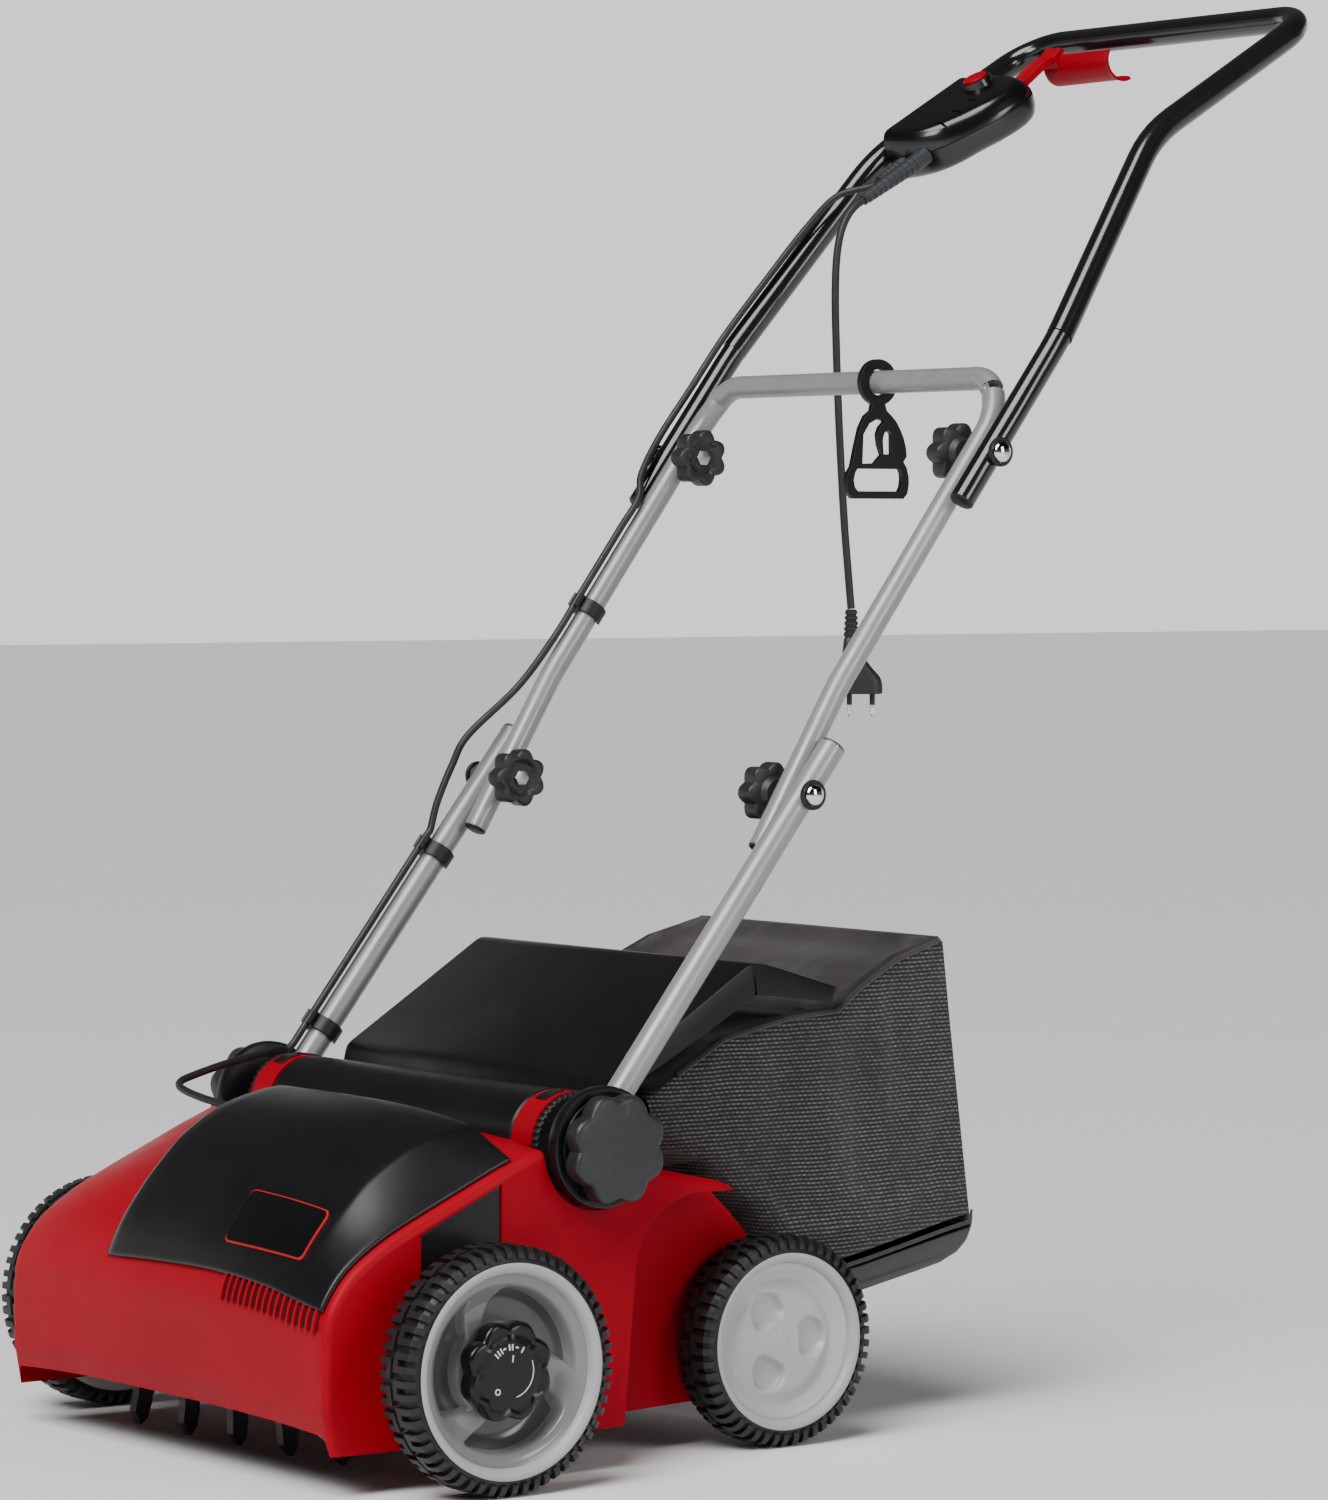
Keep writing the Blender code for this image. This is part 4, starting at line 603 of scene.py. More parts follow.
def build_plug():
    """Flat two-pin plug with a ribbed neck, hanging from the cord."""
    x, y, top = CORD_ROUTE[-1]
    top -= 0.0004
    wide = Vector((math.cos(PLUG_TURN), math.sin(PLUG_TURN), 0))
    deep = Vector((-math.sin(PLUG_TURN), math.cos(PLUG_TURN), 0))

    def section(drop, half_wide, half_deep, shift, square):
        centre = Vector((x, y, top - drop)) + wide * shift
        ring = []
        for i in range(36):
            a = 2 * math.pi * i / 36
            c, s = math.cos(a), math.sin(a)
            ring.append(centre + wide * half_wide * math.copysign(abs(c) ** (2 / square), c)
                        + deep * half_deep * math.copysign(abs(s) ** (2 / square), s))
        return ring

    rings = [section(0.0, 0.0036, 0.0036, 0.0, 2.0), section(0.0006, 0.0046, 0.0046, 0.0, 2.0)]
    ribs = 5
    for i in range(ribs):
        low = 0.0010 + 0.0045 * i
        grow = 0.0003 * i
        rings += [section(low + d, 0.0052 + grow - cut, 0.0050 + 0.6 * grow - cut, 0.0, 2.2)
                  for d, cut in ((0.0002, 0.0006), (0.0006, 0.0), (0.0026, 0.0), (0.0030, 0.0008),
                                 (0.0042, 0.0010))]
    body = smooth_curve([(0.0250, 0.0062, 0.0056, 0.0), (0.0330, 0.0080, 0.0068, 0.0008),
                         (0.0420, 0.0104, 0.0080, 0.0022), (0.0500, 0.0140, 0.0094, 0.0048),
                         (0.0560, 0.0172, 0.0103, 0.0068), (0.0620, 0.0180, 0.0105, 0.0078),
                         (0.0690, 0.0180, 0.0105, 0.0080)], 3)
    rings += [section(*step, 3.0) for step in body]
    rings.append(section(0.0700, 0.0168, 0.0094, 0.0080, 3.0))
    plug = add("plug_body", loft(rings), RUBBER, "upper_handle_body", ("plug",))
    pins, sleeves = [], []
    for k in (-1, 1):
        centre = Vector((x, y, top)) + wide * (0.008 + k * 0.0095)
        down = Vector((0, 0, -1))
        sleeves.append(rod([centre + down * d for d in (0.0695, 0.0790)], 0.0023, 16))
        pins.append(rod([centre + down * d for d in (0.0785, 0.0870, 0.0880, 0.0888)],
                        [0.0021, 0.0021, 0.0017, 0.0008], 16))
    steel = add("plug_pins", merged(pins), CHROME, "upper_handle_body")
    sleeve = add("plug_pin_sleeves", merged(sleeves), RUBBER, "upper_handle_body")
    return plug, steel, sleeve


BOX_X = -0.1663
BOX_TOP = 0.020
BOX_TILT = 0.15
RIB_PITCH = 0.0065


def box_axes():
    up_slope = (Vector(UPPER_TOP) - Vector(UPPER_BEND)).normalized()
    return up_slope, Vector((-up_slope.y, up_slope.x))


def box_point(length, inward, height):
    """Point from the switch box's own length, width and height."""
    slope, normal = box_axes()
    point = Vector(UPPER_BEND) + slope * (length + 0.004) + normal * height
    return Vector((BOX_X + inward, point.x, point.y))


def ribbed_boot(name, inward, height, start_r, end_r, seat, length, nodes=()):
    """Tapered strain relief with cross ribs, on the front end of the switch box."""
    points, radii = [], []
    count = max(4, round(length / RIB_PITCH))
    for d in (-seat, 0.0):
        points.append(box_point(-d, inward, height))
        radii.append(start_r * 0.97)
    for i in range(count):
        for d, cut in ((0.0002, 0.0), (0.0040, 0.0), (0.0044, 0.0007), (0.0062, 0.0007)):
            along = 0.003 + (length - 0.005) * (i + d / RIB_PITCH) / count
            points.append(box_point(-along, inward, height))
            radii.append(start_r + (end_r - start_r) * along / length - cut)
    points.append(box_point(-length, inward, height))
    radii.append(end_r - 0.0002)
    return add(name, rod(points, radii, 28), BOOT, "upper_handle_body", nodes)


def build_cord():
    boot = ribbed_boot("cord_boot_ribbed", 0.0365, -0.0065, 0.0075, 0.0048, 0.010, 0.067,
                       ("cord_boot",))
    plug, pins, sleeves = build_plug()
    cord, length = flex("mains_cord", CORD_ROUTE, CORD_D, RUBBER, "upper_handle_body",
                        ("power_cord",))


build_cord()


# ---- handle tubes -------------------------------------------------------------------------
def along(a, b, distance):
    start, end = Vector(a), Vector(b)
    return start + (end - start).normalized() * distance


def end_plug(at, inward_dir, radius, name, body):
    """Domed plastic stopper in a tube's open end."""
    inward = Vector(inward_dir).normalized()
    at = Vector(at)
    steps = [(-0.0028, 0.3), (-0.0024, 0.62), (-0.0014, 0.90), (0.0, 1.0), (0.0012, 1.0),
             (0.0013, 0.84), (0.012, 0.84)]
    bm = rod([at + inward * d for d, _ in steps], [radius * r for _, r in steps], 24)
    return add(name, bm, BLACK_MATT, body)


def stoppers(path, radius, stem, body):
    """Stoppers in both open ends of a bent tube."""
    for end, beyond, side in ((0, 1, 1), (-1, -2, -1)):
        end_plug(path[end], path[beyond] - path[end], radius, tag(stem, side), body)


def lower_path(x):
    foot = along(PIVOT, P1, -0.0165)
    top = along(P1, PIVOT, -0.0450)
    return [Vector((x, *foot)), Vector((x, *P1)), Vector((x, *top))]


def mid_path():
    low = along(P1, MID_BEND, -0.0480)
    straight = along(P2, MID_BEND, -0.0400)
    half = [(MID_X, *low), (MID_X, *MID_BEND), (MID_X, *straight), (0.1700, *CROSSBAR)]
    other = [(-x, y, z) for x, y, z in half[::-1]]
    return rounded_path(half + other, [0.20, 0.06, 0.030, 0.030, 0.06, 0.20])


def upper_path():
    low = along(P2, UPPER_BEND, -0.0470)
    straight = along(P2, UPPER_BEND, 0.1150)
    half = [(UPPER_X, *low), (UPPER_X, *straight), (UPPER_TOP_X, *UPPER_BEND),
            (UPPER_TOP_X, *UPPER_TOP)]
    other = [(-x, y, z) for x, y, z in half[::-1]]
    return rounded_path(half + other, [0.20, 0.12, 0.040, 0.040, 0.12, 0.20])


def hole_tool(y, z, x, radius=0.0044):
    return prism(circle(y, z, radius, 24), x - 0.03, x + 0.03)


SLEEVE = 0.0007             # thickness of the skin over the upper handle's grip end
SLEEVE_FROM_BOLT = 0.1130


def build_tubes():
    for side in (1, -1):
        x = side * LOWER_X
        path = lower_path(x)
        tube = carve("lower", hollow_tube(path, LOWER_R),
                     [hole_tool(*P1, x), hole_tool(*PIVOT, x, 0.0050)])
        add(tag("lower_tube_skin", side), tube, GREY_TUBE, "lower_handle",
            (tag("lower_tube", side),))
        end_plug(path[-1], path[0] - path[-1], LOWER_R, tag("lower_tube_stopper", side),
                 "lower_handle")
    path = mid_path()
    frame_mesh = carve("mid", hollow_tube(path, MID_R),
                       [hole_tool(y, z, side * MID_X) for y, z in (P1, P2) for side in (1, -1)])
    add("mid_frame_skin", frame_mesh, GREY_TUBE, "middle_handle", ("mid_frame",))
    stoppers(path, MID_R, "mid_frame_stopper", "middle_handle")
    path = upper_path()
    handle = carve("upper", hollow_tube(path, UPPER_R),
                   [hole_tool(*P2, side * UPPER_X) for side in (1, -1)])
    add("upper_handle_skin", handle, BLACK_TUBE, "upper_handle_body",
        ("upper_handle",))
    stoppers(path, UPPER_R, "upper_handle_stopper", "upper_handle_body")
    low = Vector((UPPER_X, *along(P2, UPPER_BEND, SLEEVE_FROM_BOLT)))
    upward = [p for p in path if p.z > low.z + 0.002]
    other = Vector((-low.x, low.y, low.z))
    add("upper_handle_sleeve", hollow_tube([low] + upward + [other], UPPER_R + SLEEVE, SLEEVE),
        BLACK_TUBE, "upper_handle_body")


build_tubes()


# ---- knobs and bolts ----------------------------------------------------------------------
def lobe_radius(angle, radius, lobes, depth):
    """Outline of a lobed knob: broad lobes with narrow valleys."""
    valley = 0.5 - 0.5 * math.cos(lobes * angle)
    return radius - depth * (1 - valley ** 0.6)


def star_head(y, z, base, face, radius, lobes, depth, dish, points_per_lobe=12, crown=0.0):
    """Lobed head with rounded edges; dish(r, angle) sinks its face."""
    out = 1 if face > base else -1
    sides = lobes * points_per_lobe
    edge = 0.10 * radius
    rim = [(base, 0.0, 0.60), (base, edge, 1.0)]
    rim += [(base + out * edge * (1 - math.cos(a)), edge * (1 - math.sin(a)), 1.0)
            for a in (math.radians(30), math.radians(60), math.radians(90))]
    rim += [(face - out * edge * (1 - math.sin(a)), edge * (1 - math.cos(a)), 1.0)
            for a in (math.radians(0), math.radians(30), math.radians(60), math.radians(90))]
    angles = [2 * math.pi * i / sides for i in range(sides)]
    rings = []
    for x, back, share in rim:
        reach = [(lobe_radius(a, radius, lobes, depth) - back) * share for a in angles]
        rings.append([spot_round(x, y, z, r, a) for r, a in zip(reach, angles)])
    steps = 9
    for k in range(1, steps):
        share = 1 - k / steps
        reach = [(lobe_radius(a, radius, lobes, depth * share) - edge) * share for a in angles]
        rings.append([spot_round(face + out * (crown * (1 - share ** 2) - dish(r, a)), y, z, r, a)
                      for r, a in zip(reach, angles)])
    return loft(rings)


BIG_LOBES = 8


def big_knob_dish(r, angle):
    """Scooped crescents beside the valleys of the large knob."""
    from_valley = abs((angle * BIG_LOBES / (2 * math.pi) + 0.5) % 1 - 0.5)
    return 0.0028 * ease(r, 0.0285, 0.0345) * (1 - ease(from_valley, 0.10, 0.26))


def build_pivot_knobs():
    y, z = PIVOT
    for side in (1, -1):
        own = tag("pivot_knob", side)
        head = star_head(y, z, 0.2400, 0.2575, 0.0415, BIG_LOBES, 0.0055, big_knob_dish, 14,
                         crown=0.0012)
        add(tag("pivot_knob_head", side), head, KNOB, own + "_body", (own,), side)
        hub = lathe([(0.1990, 0), (0.1990, 0.0038), (0.2385, 0.0038), (0.2385, 0.0240),
                     (0.2402, 0.0250), (0.2402, 0)], y, z, 48)
        add(tag("pivot_knob_stud", side), hub, STEEL, own + "_body", (), side)


def fold_dish(r, angle):
    return 0.0026 * (1 - ease(r, 0.0125, 0.0150))


def build_fold_hardware():
    """Dome bolts with washers outside, star knobs with a nut inside."""
    knob_base = MID_X - MID_R - 0.0030
    for level, (y, z), x_tube, radius, body in (
            ("lower", P1, LOWER_X, LOWER_R, "lower_handle"),
            ("upper", P2, UPPER_X, UPPER_R, "upper_handle_body")):
        skin = x_tube + radius + 0.0005
        for side in (1, -1):
            dome = [(skin + 0.0030 + 0.0052 * math.sin(a), 0.0083 * math.cos(a))
                    for a in (math.radians(10 * i) for i in range(10))]
            dome[-1] = (dome[-1][0], 0)
            profile = [(0.1700, 0), (0.1700, 0.0030), (skin, 0.0030), (skin + 0.0006, 0.0083)]
            bolt = lathe(profile + dome, y, z, 48)
            add(tag(level + "_bolt_dome", side), bolt, CHROME, body,
                (tag(level + "_bolt", side),), side)
            ring = [(skin, 0.0086), (skin, 0.0108), (skin + 0.0012, 0.0115),
                    (skin + 0.0030, 0.0113), (skin + 0.0036, 0.0104), (skin + 0.0030, 0.0086)]
            add(tag(level + "_bolt_ring", side), lathe(ring, y, z, 48), BLACK_MATT, body,
                (), side)
            own = tag(level + "_knob", side)
            head = star_head(y, z, knob_base - 0.0030, 0.1610, 0.0235, 7, 0.0046, fold_dish, 12)
            add(own + "_head", head, KNOB, own + "_body", (own,), side)
            collar = lathe([(knob_base + 0.0018, 0.0036), (knob_base + 0.0018, 0.0100),
                            (knob_base - 0.0034, 0.0130), (knob_base - 0.0034, 0.0036)], y, z, 36)
            add(own + "_collar", collar, KNOB, own + "_body", (), side)
            nut = lathe([(0.1640, 0), (0.1640, 0.0066), (0.1628, 0.0070), (0.1612, 0.0066),
                         (0.1606, 0.0040), (0.1606, 0)], y, z, 6)
            add(own + "_nut", nut, STEEL, own + "_body", (), side, bevel=0.0004)


build_pivot_knobs()
build_fold_hardware()


# ---- clips and motor lead -----------------------------------------------------------------
def front_of(a, b, distance, x, radius):
    """Place of the lead's centre in front of a tube from a to b."""
    start = along(a, b, distance)
    direction = (Vector(b) - Vector(a)).normalized()
    front = Vector((-direction.y, direction.x)) * (radius + LEAD_R + LEAD_SEAT)
    return (x, start.x + front.x, start.y + front.y)


CLIP_LENGTH = 0.012


def clip_outline(r_in, r_out, start, end):
    return arc(0, 0, r_out, start, end, 24) + arc(0, 0, r_in, start, end, 24)[::-1]


def build_clip(node, x, a, b, distance, tube_r, body):
    """C-shaped clip round a tube, with a small C for the lead."""
    start = along(a, b, distance)
    direction = (Vector(b) - Vector(a)).normalized()
    front = Vector((-direction.y, direction.x))
    shapes = []
    for outline, shift in ((clip_outline(tube_r + 0.0004, tube_r + 0.0030, -60, 240), 0.0),
                           (clip_outline(LEAD_R + 0.0004, LEAD_R + 0.0024, -215, 35),
                            tube_r + LEAD_R + LEAD_SEAT)):
        rings = []
        for s in (0.0, CLIP_LENGTH):
            centre = start + direction * s
            ring = []
            for across, out in outline:
                point = centre + front * (out + shift)
                ring.append((x + across, point.x, point.y))
            rings.append(ring)
        shapes.append(loft(rings))
    add(node + "_moulding", carve("clip", shapes[0], [], [shapes[1]]), BLACK_MATT, body,
        (node,), bevel=0.0005)


def build_leads():
    """Motor lead in three lengths, one across each hinge of the handle."""
    build_clip("cable_clip_base", -LOWER_X, PIVOT, P1, 0.062, LOWER_R, "lower_handle")
    build_clip("cable_clip_lower", -LOWER_X, PIVOT, P1, 0.235, LOWER_R, "lower_handle")
    build_clip("cable_clip_mid", -MID_X, MID_BEND, P2, 0.060, MID_R, "middle_handle")
    cover_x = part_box("motor_cover")[0].x
    deck = [(cover_x - 0.0004, 0.0000, 0.2475), (-0.095, 0.0000, 0.2490),
            (-0.130, -0.0030, 0.2530), (-0.160, -0.0020, 0.2575), (-0.178, 0.0080, 0.2610),
            (-0.187, 0.0280, 0.2650), (-0.195, 0.0600, 0.2710), (-0.205, 0.0950, 0.2755),
            (-0.211, 0.1180, 0.2790), front_of(PIVOT, P1, 0.034, -LOWER_X, LOWER_R + 0.0024)]
    deck += [front_of(PIVOT, P1, distance, -LOWER_X, LOWER_R)
             for distance in (0.042, 0.048, 0.060, 0.075, 0.090, 0.105, 0.120)]
    fold = [front_of(PIVOT, P1, distance, -LOWER_X, LOWER_R)
            for distance in (0.1204, 0.160, 0.200, 0.228, 0.234, 0.248, 0.254)]
    fold += [(-0.2135, 0.2700, 0.4700), (-0.2110, 0.2830, 0.5000), (-0.2070, 0.2960, 0.5240),
             front_of(P1, MID_BEND, 0.075, -0.2010, MID_R + 0.002)]
    fold += [front_of(MID_BEND, P2, distance, -MID_X, MID_R) for distance in (0.030, 0.070, 0.110)]
    top = [front_of(MID_BEND, P2, distance, -MID_X, MID_R) for distance in (0.1104, 0.140, 0.170)]
    top += [front_of(P2, UPPER_BEND, distance, -x, UPPER_R + slack) for distance, x, slack in (
        (-0.030, 0.2040, 0.002), (0.010, UPPER_X, 0.001), (0.060, UPPER_X, 0.0),
        (0.115, 0.2110, 0.0), (0.180, 0.1980, 0.001), (0.230, 0.1860, 0.0015),
        (0.262, 0.1700, 0.0015))]
    top += [box_point(-0.0400, 0.0150, -0.0078), box_point(-0.0308, 0.0150, -0.008)]
    for name, route, a, b, low, high, node in (
            ("motor_lead_loop", deck, "chassis", "lower_handle", deck[5], deck[9],
             "motor_lead_deck"),
            ("motor_lead_fold", fold, "lower_handle", "middle_handle", fold[7], fold[10],
             "motor_lead_lower"),
            ("motor_lead_top", top, "middle_handle", "upper_handle_body", top[2], top[4],
             "motor_lead_upper")):
        obj = blended_lead(name, route, low, high)
        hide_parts(node)


def blended_lead(name, route, low, high):
    """Lead along a smooth route, shaded and moved into the frame of the model."""
    obj = plain_object(name, rod(even_points(route, 0.004), LEAD_R, 16))
    finish_mesh(obj.data, RUBBER, 40)
    low, high = (Vector((p[0], p[1] + AXLE_Y, p[2])) for p in (low, high))
    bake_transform(obj)
    return obj


build_leads()


# ---- hood ---------------------------------------------------------------------------------
# (y, z) along the rim from the front lip over the top to the rear lip, and the middle's bulge
HOOD_TOP = [(-0.1134, 0.0303, 0.0), (-0.1150, 0.0700, 0.001), (-0.1150, 0.1050, 0.003),
            (-0.1120, 0.1280, 0.007), (-0.1010, 0.1470, 0.012), (-0.0860, 0.1620, 0.017),
            (-0.0620, 0.1775, 0.021), (-0.0350, 0.1905, 0.025), (0.0050, 0.2085, 0.025),
            (0.0450, 0.2265, 0.020), (0.0780, 0.2370, 0.008), (0.1190, 0.2250, 0.0),
            (0.1650, 0.2200, 0.0), (0.2050, 0.2110, 0.0), (0.2460, 0.1990, 0.0),
            (0.2900, 0.1570, 0.0), (0.3120, 0.1180, 0.0), (0.3180, 0.0800, 0.0),
            (0.3130, 0.0400, 0.0)]
HOOD_BELLY = [(0.2620, 0.0360), (0.1400, 0.0303)]
HOOD_WALL = 0.0030
NARROW_HALF = 0.1800
BOSS_IN_X = 0.1960
GAP = 0.0005
RIM_ROUND = 0.0055
CREASE = [(-0.1096, 0.0303), (-0.1120, 0.0440), (-0.1143, 0.0570), (-0.1153, 0.0590)]


def spline_at(values, t):
    """Smooth line through equal-length tuples, at a real index."""
    last = len(values) - 1
    k = max(0, min(last - 1, int(math.floor(t))))
    u = t - k
    p, q, r, s = (values[max(0, min(last, k + d))] for d in (-1, 0, 1, 2))
    return tuple(0.5 * (2 * b + (c - a) * u + (2 * a - 5 * b + 4 * c - d) * u * u
                        + (3 * b - a - 3 * c + d) * u ** 3) for a, b, c, d in zip(p, q, r, s))


def rim_drop(x, half):
    """How far the hood's rounded rim falls below its top line."""
    back = half - abs(x)
    if back >= RIM_ROUND:
        return 0.0
    return RIM_ROUND * (1 - math.sqrt(max(0.0, 1 - (1 - back / RIM_ROUND) ** 2)))


def hood_spot(x, t, lift, half=DECK_HALF):
    """Point over the hood's top line at a real station, moved out by lift."""
    y, z, bulge = spline_at(HOOD_TOP, t)
    a, b = spline_at(HOOD_TOP, t - 0.03), spline_at(HOOD_TOP, t + 0.03)
    tangent = Vector((b[0] - a[0], b[1] - a[1])).normalized()
    shift = bulge * (1 - abs(x / half) ** 3) + lift - rim_drop(x, half)
    return Vector((x, y - tangent.y * shift, z + tangent.x * shift))


def spread(low, high, count):
    return [low + (high - low) * i / (count - 1) for i in range(count)]


def hood_columns(half):
    """Places across the hood, closer together at its rounded rims."""
    near = [half - d for d in (0.0, 0.0004, 0.0013, 0.0026, 0.0041, 0.0056, 0.0120)]
    inner = spread(0.197, 0.0, 12)
    right = near + inner
    return [-x for x in right[:-1]] + right[::-1]


def hood_solid(inset):
    half = DECK_HALF - inset
    sections = []
    for x in hood_columns(half):
        top = [hood_spot(x, t, -inset, half) for t in spread(1.0, 18.0, 86)]
        if inset:
            lip = [Vector((x, top[0].y, -0.02))]
            belly = [Vector((x, top[-1].y, -0.02))]
        else:
            drop = rim_drop(x, half)
            lip = [Vector((x, y + drop, z)) for y, z in CREASE]
            belly = [Vector((x, y, z)) for y, z in HOOD_BELLY]
        sections.append(lip + top + belly)
    bm = loft(sections)
    bmesh.ops.triangulate(bm, faces=[f for f in bm.faces if len(f.verts) == 4])
    return bm


def wheel_well(x_in, grow, side):
    """Cutter for the room over a rear wheel."""
    top = arc(0.214, 0.138, 0.060 + grow, 90, 180, 22)
    outline = [(0.40, -0.03), (0.40, 0.198 + grow)] + top + [(0.139 - grow, -0.03)]
    return mirror_x(prism(outline, x_in, 0.30), side)


def arch_under_front():
    """Cutter for the arched lower edge of the front."""
    chord, rise, count = 0.190, 0.016, 40
    top = [(-chord + 2 * chord * i / count, 0.0300 + rise * math.sin(math.pi * i / count))
           for i in range(count + 1)]
    return loft([[(x, y, z) for x, z in [(-chord, -0.01)] + top + [(chord, -0.01)]]
                 for y in (-0.16, -0.095)])


def window_outline(grow):
    return [(-0.034 - grow, 0.125 - grow), (0.036 + grow, 0.125 - grow),
            (0.036 + grow, 0.2155 + 1.2 * grow), (-0.034 - grow, 0.1835 + 0.8 * grow)]


def build_hood():
    hollow = hood_solid(HOOD_WALL)
    keep = []
    for side in (1, -1):
        keep.append(wheel_well(NARROW_HALF - HOOD_WALL, HOOD_WALL, side))
        keep.append(mirror_x(block((0.1600, 0.0660, 0.1860), (0.30, 0.1740, 0.32)), side))
    hollow = carve("hollow", hollow, keep)
    y, z = PIVOT
    cuts = [hollow, prism(circle(y, z, CROSS_R + GAP, 96), -CROSS_HALF - GAP, CROSS_HALF + GAP),
            arch_under_front(), block((-0.060, -0.070, 0.155), (0.105, 0.045, 0.30)),
            block((-0.150, 0.178, 0.120), (0.150, 0.285, 0.24)),
            prism(circle(REAR_Y, REAR_R, 0.0056, 32), -0.30, 0.30)]
    slot = [(-0.0075, 0.082), (0.0075, 0.082), (0.0075, 0.111), (-0.0075, 0.111)]
    bands = []
    for side in (1, -1):
        notch = [(y - 0.048, 0.31)] + arc(y, z, 0.0470, 180, 360, 40) + [(y + 0.048, 0.31)]
        cuts += [wheel_well(NARROW_HALF, 0.0, side), mirror_x(prism(notch, BOSS_IN_X, 0.30), side),
                 mirror_x(prism(window_outline(0.0), 0.215, 0.24), side),
                 mirror_x(prism(slot, 0.215, 0.24), side)]
        bands.append(mirror_x(prism(circle(y, z, CROSS_R, 72, 0.03), CROSS_HALF + 0.0020,
                                    BOSS_IN_X - 0.0002), side))
    hood = carve("hood", hood_solid(0.0), cuts, bands)
    add("hood_shell", hood, RED, "chassis", ("deck_housing",), sharp=26,
        bevel=0.0009, angle=34)
    for side in (1, -1):
        panel = prism(window_outline(-0.0006), 0.2195, 0.2252)
        add(tag("side_insert_panel", side), panel, BLACK, "chassis",
            (tag("side_insert", side),), side, bevel=0.0010)
        clasp = []
        for start in (62, 96):
            outline = arc(y, z, CROSS_R + 0.0012, start, start + 26, 12)
            outline += arc(y, z, CROSS_R - 0.001, start + 26, start, 12)
            clasp.append(prism(outline, 0.1760, 0.1900))
        add(tag("band_clasp", side), merged(clasp), BLACK, "chassis", (), side,
            bevel=0.0005)


# ---- motor cover, fins and badge ----------------------------------------------------------
COVER_RISE = [(rise,) for rise in (0.0040, 0.0045, 0.0080, 0.0160, 0.0235, 0.0275, 0.0225, 0.0140)]
COVER_RISE_FROM = 3         # station of the first rise
COVER_RIGHT_RISE = 0.0045
COVER_SHOULDER_X = 0.1865
COVER_END = 9.15
COVER_FRONT = [(t,) for t in (3.56, 3.66, 3.70, 3.56, 3.22)]   # front edge's station, by x
_low, _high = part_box("motor_cover")
COVER_LEFT_X, COVER_RIGHT_X = _low.x, _high.x + 0.0070


def cover_front(x):
    share = (x - COVER_LEFT_X) / (COVER_RIGHT_X - COVER_LEFT_X)
    return spline_at(COVER_FRONT, (len(COVER_FRONT) - 1) * share)[0]


def cover_lift(x, t):
    """Height of the motor cover over the hood's line."""
    rise = spline_at(COVER_RISE, t - COVER_RISE_FROM)[0]
    past = (x - COVER_SHOULDER_X) / (COVER_RIGHT_X - 0.002 - COVER_SHOULDER_X)
    fall = min(1.0, 0.5 * (past + math.sqrt(past * past + 0.004)))
    rise = rise - (rise - COVER_RIGHT_RISE) * fall
    left = min(1.0, (x - COVER_LEFT_X) / 0.012)
    share = 0.30 + 0.70 * math.sqrt(1 - (1 - left) ** 2)
    right = min(1.0, (COVER_RIGHT_X - x) / 0.003)
    return max(0.0026, rise * share * (0.6 + 0.4 * math.sqrt(1 - (1 - right) ** 2)))


def edge_lift(x, t):
    """Rounds the cover's front and rear edges."""
    back = min(t - cover_front(x), COVER_END - t) / 0.10
    return 1.0 if back >= 1 else 0.62 + 0.38 * math.sqrt(1 - (1 - max(0.0, back)) ** 2)


def build_cover():
    columns = [COVER_LEFT_X + d for d in (0, 0.0006, 0.0018, 0.0036, 0.0060, 0.0085, 0.0120)]
    columns += spread(-0.052, 0.168, 22)
    columns += spread(0.1730, COVER_RIGHT_X - 0.0032, 26)
    columns += [COVER_RIGHT_X - d for d in (0.0022, 0.0012, 0.0004, 0.0)]
    sections = []
    for x in columns:
        front = cover_front(x)
        stations = [front + d for d in (0.0, 0.012, 0.035, 0.065, 0.10)]
        stations += spread(front + 0.18, 8.95, 48)
        stations += [COVER_END - d for d in (0.10, 0.065, 0.035, 0.012, 0.0)]
        top = [hood_spot(x, t, max(0.0024, cover_lift(x, t) * edge_lift(x, t))) for t in stations]
        seat = [hood_spot(x, t, 0.0016) for t in stations[::-4]] + [hood_spot(x, front, 0.0016)]
        sections.append(top + seat)
    bm = loft(sections)
    bmesh.ops.triangulate(bm, faces=[f for f in bm.faces if len(f.verts) > 4])
    add("cover_shell", bm, BLACK, "chassis", ("motor_cover",), sharp=50)
    panel = plate_on_hood(0.0905, 0.2150, -0.66, -0.02, 0.0003, 0.0009)
    add("fin_recess", panel, BLACK_MATT, "chassis")
    fins = []
    count = 16
    for i in range(count):
        x = 0.0925 + 0.1200 * i / (count - 1)
        fins.append(plate_on_hood(x - 0.0014, x + 0.0014, -0.70, 0.02, 0.0003, 0.0032, 2))
    add("vent_fins", merged(fins), RED, "chassis", bevel=0.0006)
    add("badge_line", badge_plate(0.0, 0.0005, 0.0019), RED_LINE, "chassis",
        sharp=40)
    add("badge_plate", badge_plate(0.0010, 0.0005, 0.0025), BLACK_GLOSS, "chassis",
        ("cover_badge",), sharp=40)


def plate_on_hood(x0, x1, t0, t1, low, high, columns=8):
    """Plate on the hood's front, placed from the cover's front edge."""
    rings = []
    for x in spread(x0, x1, columns):
        steps = spread(cover_front(x) + t0, cover_front(x) + t1, 9)
        rings.append([hood_spot(x, t, high) for t in steps]
                     + [hood_spot(x, t, low) for t in steps[::-1]])
    return loft(rings)


BADGE_X = (0.0790, 0.1775)
BADGE_T = (4.52, 5.86)
BADGE_CORNER = 0.0045
PER_METRE_LOW, PER_METRE_HIGH = 38, 34    # stations in a metre at the badge's two edges


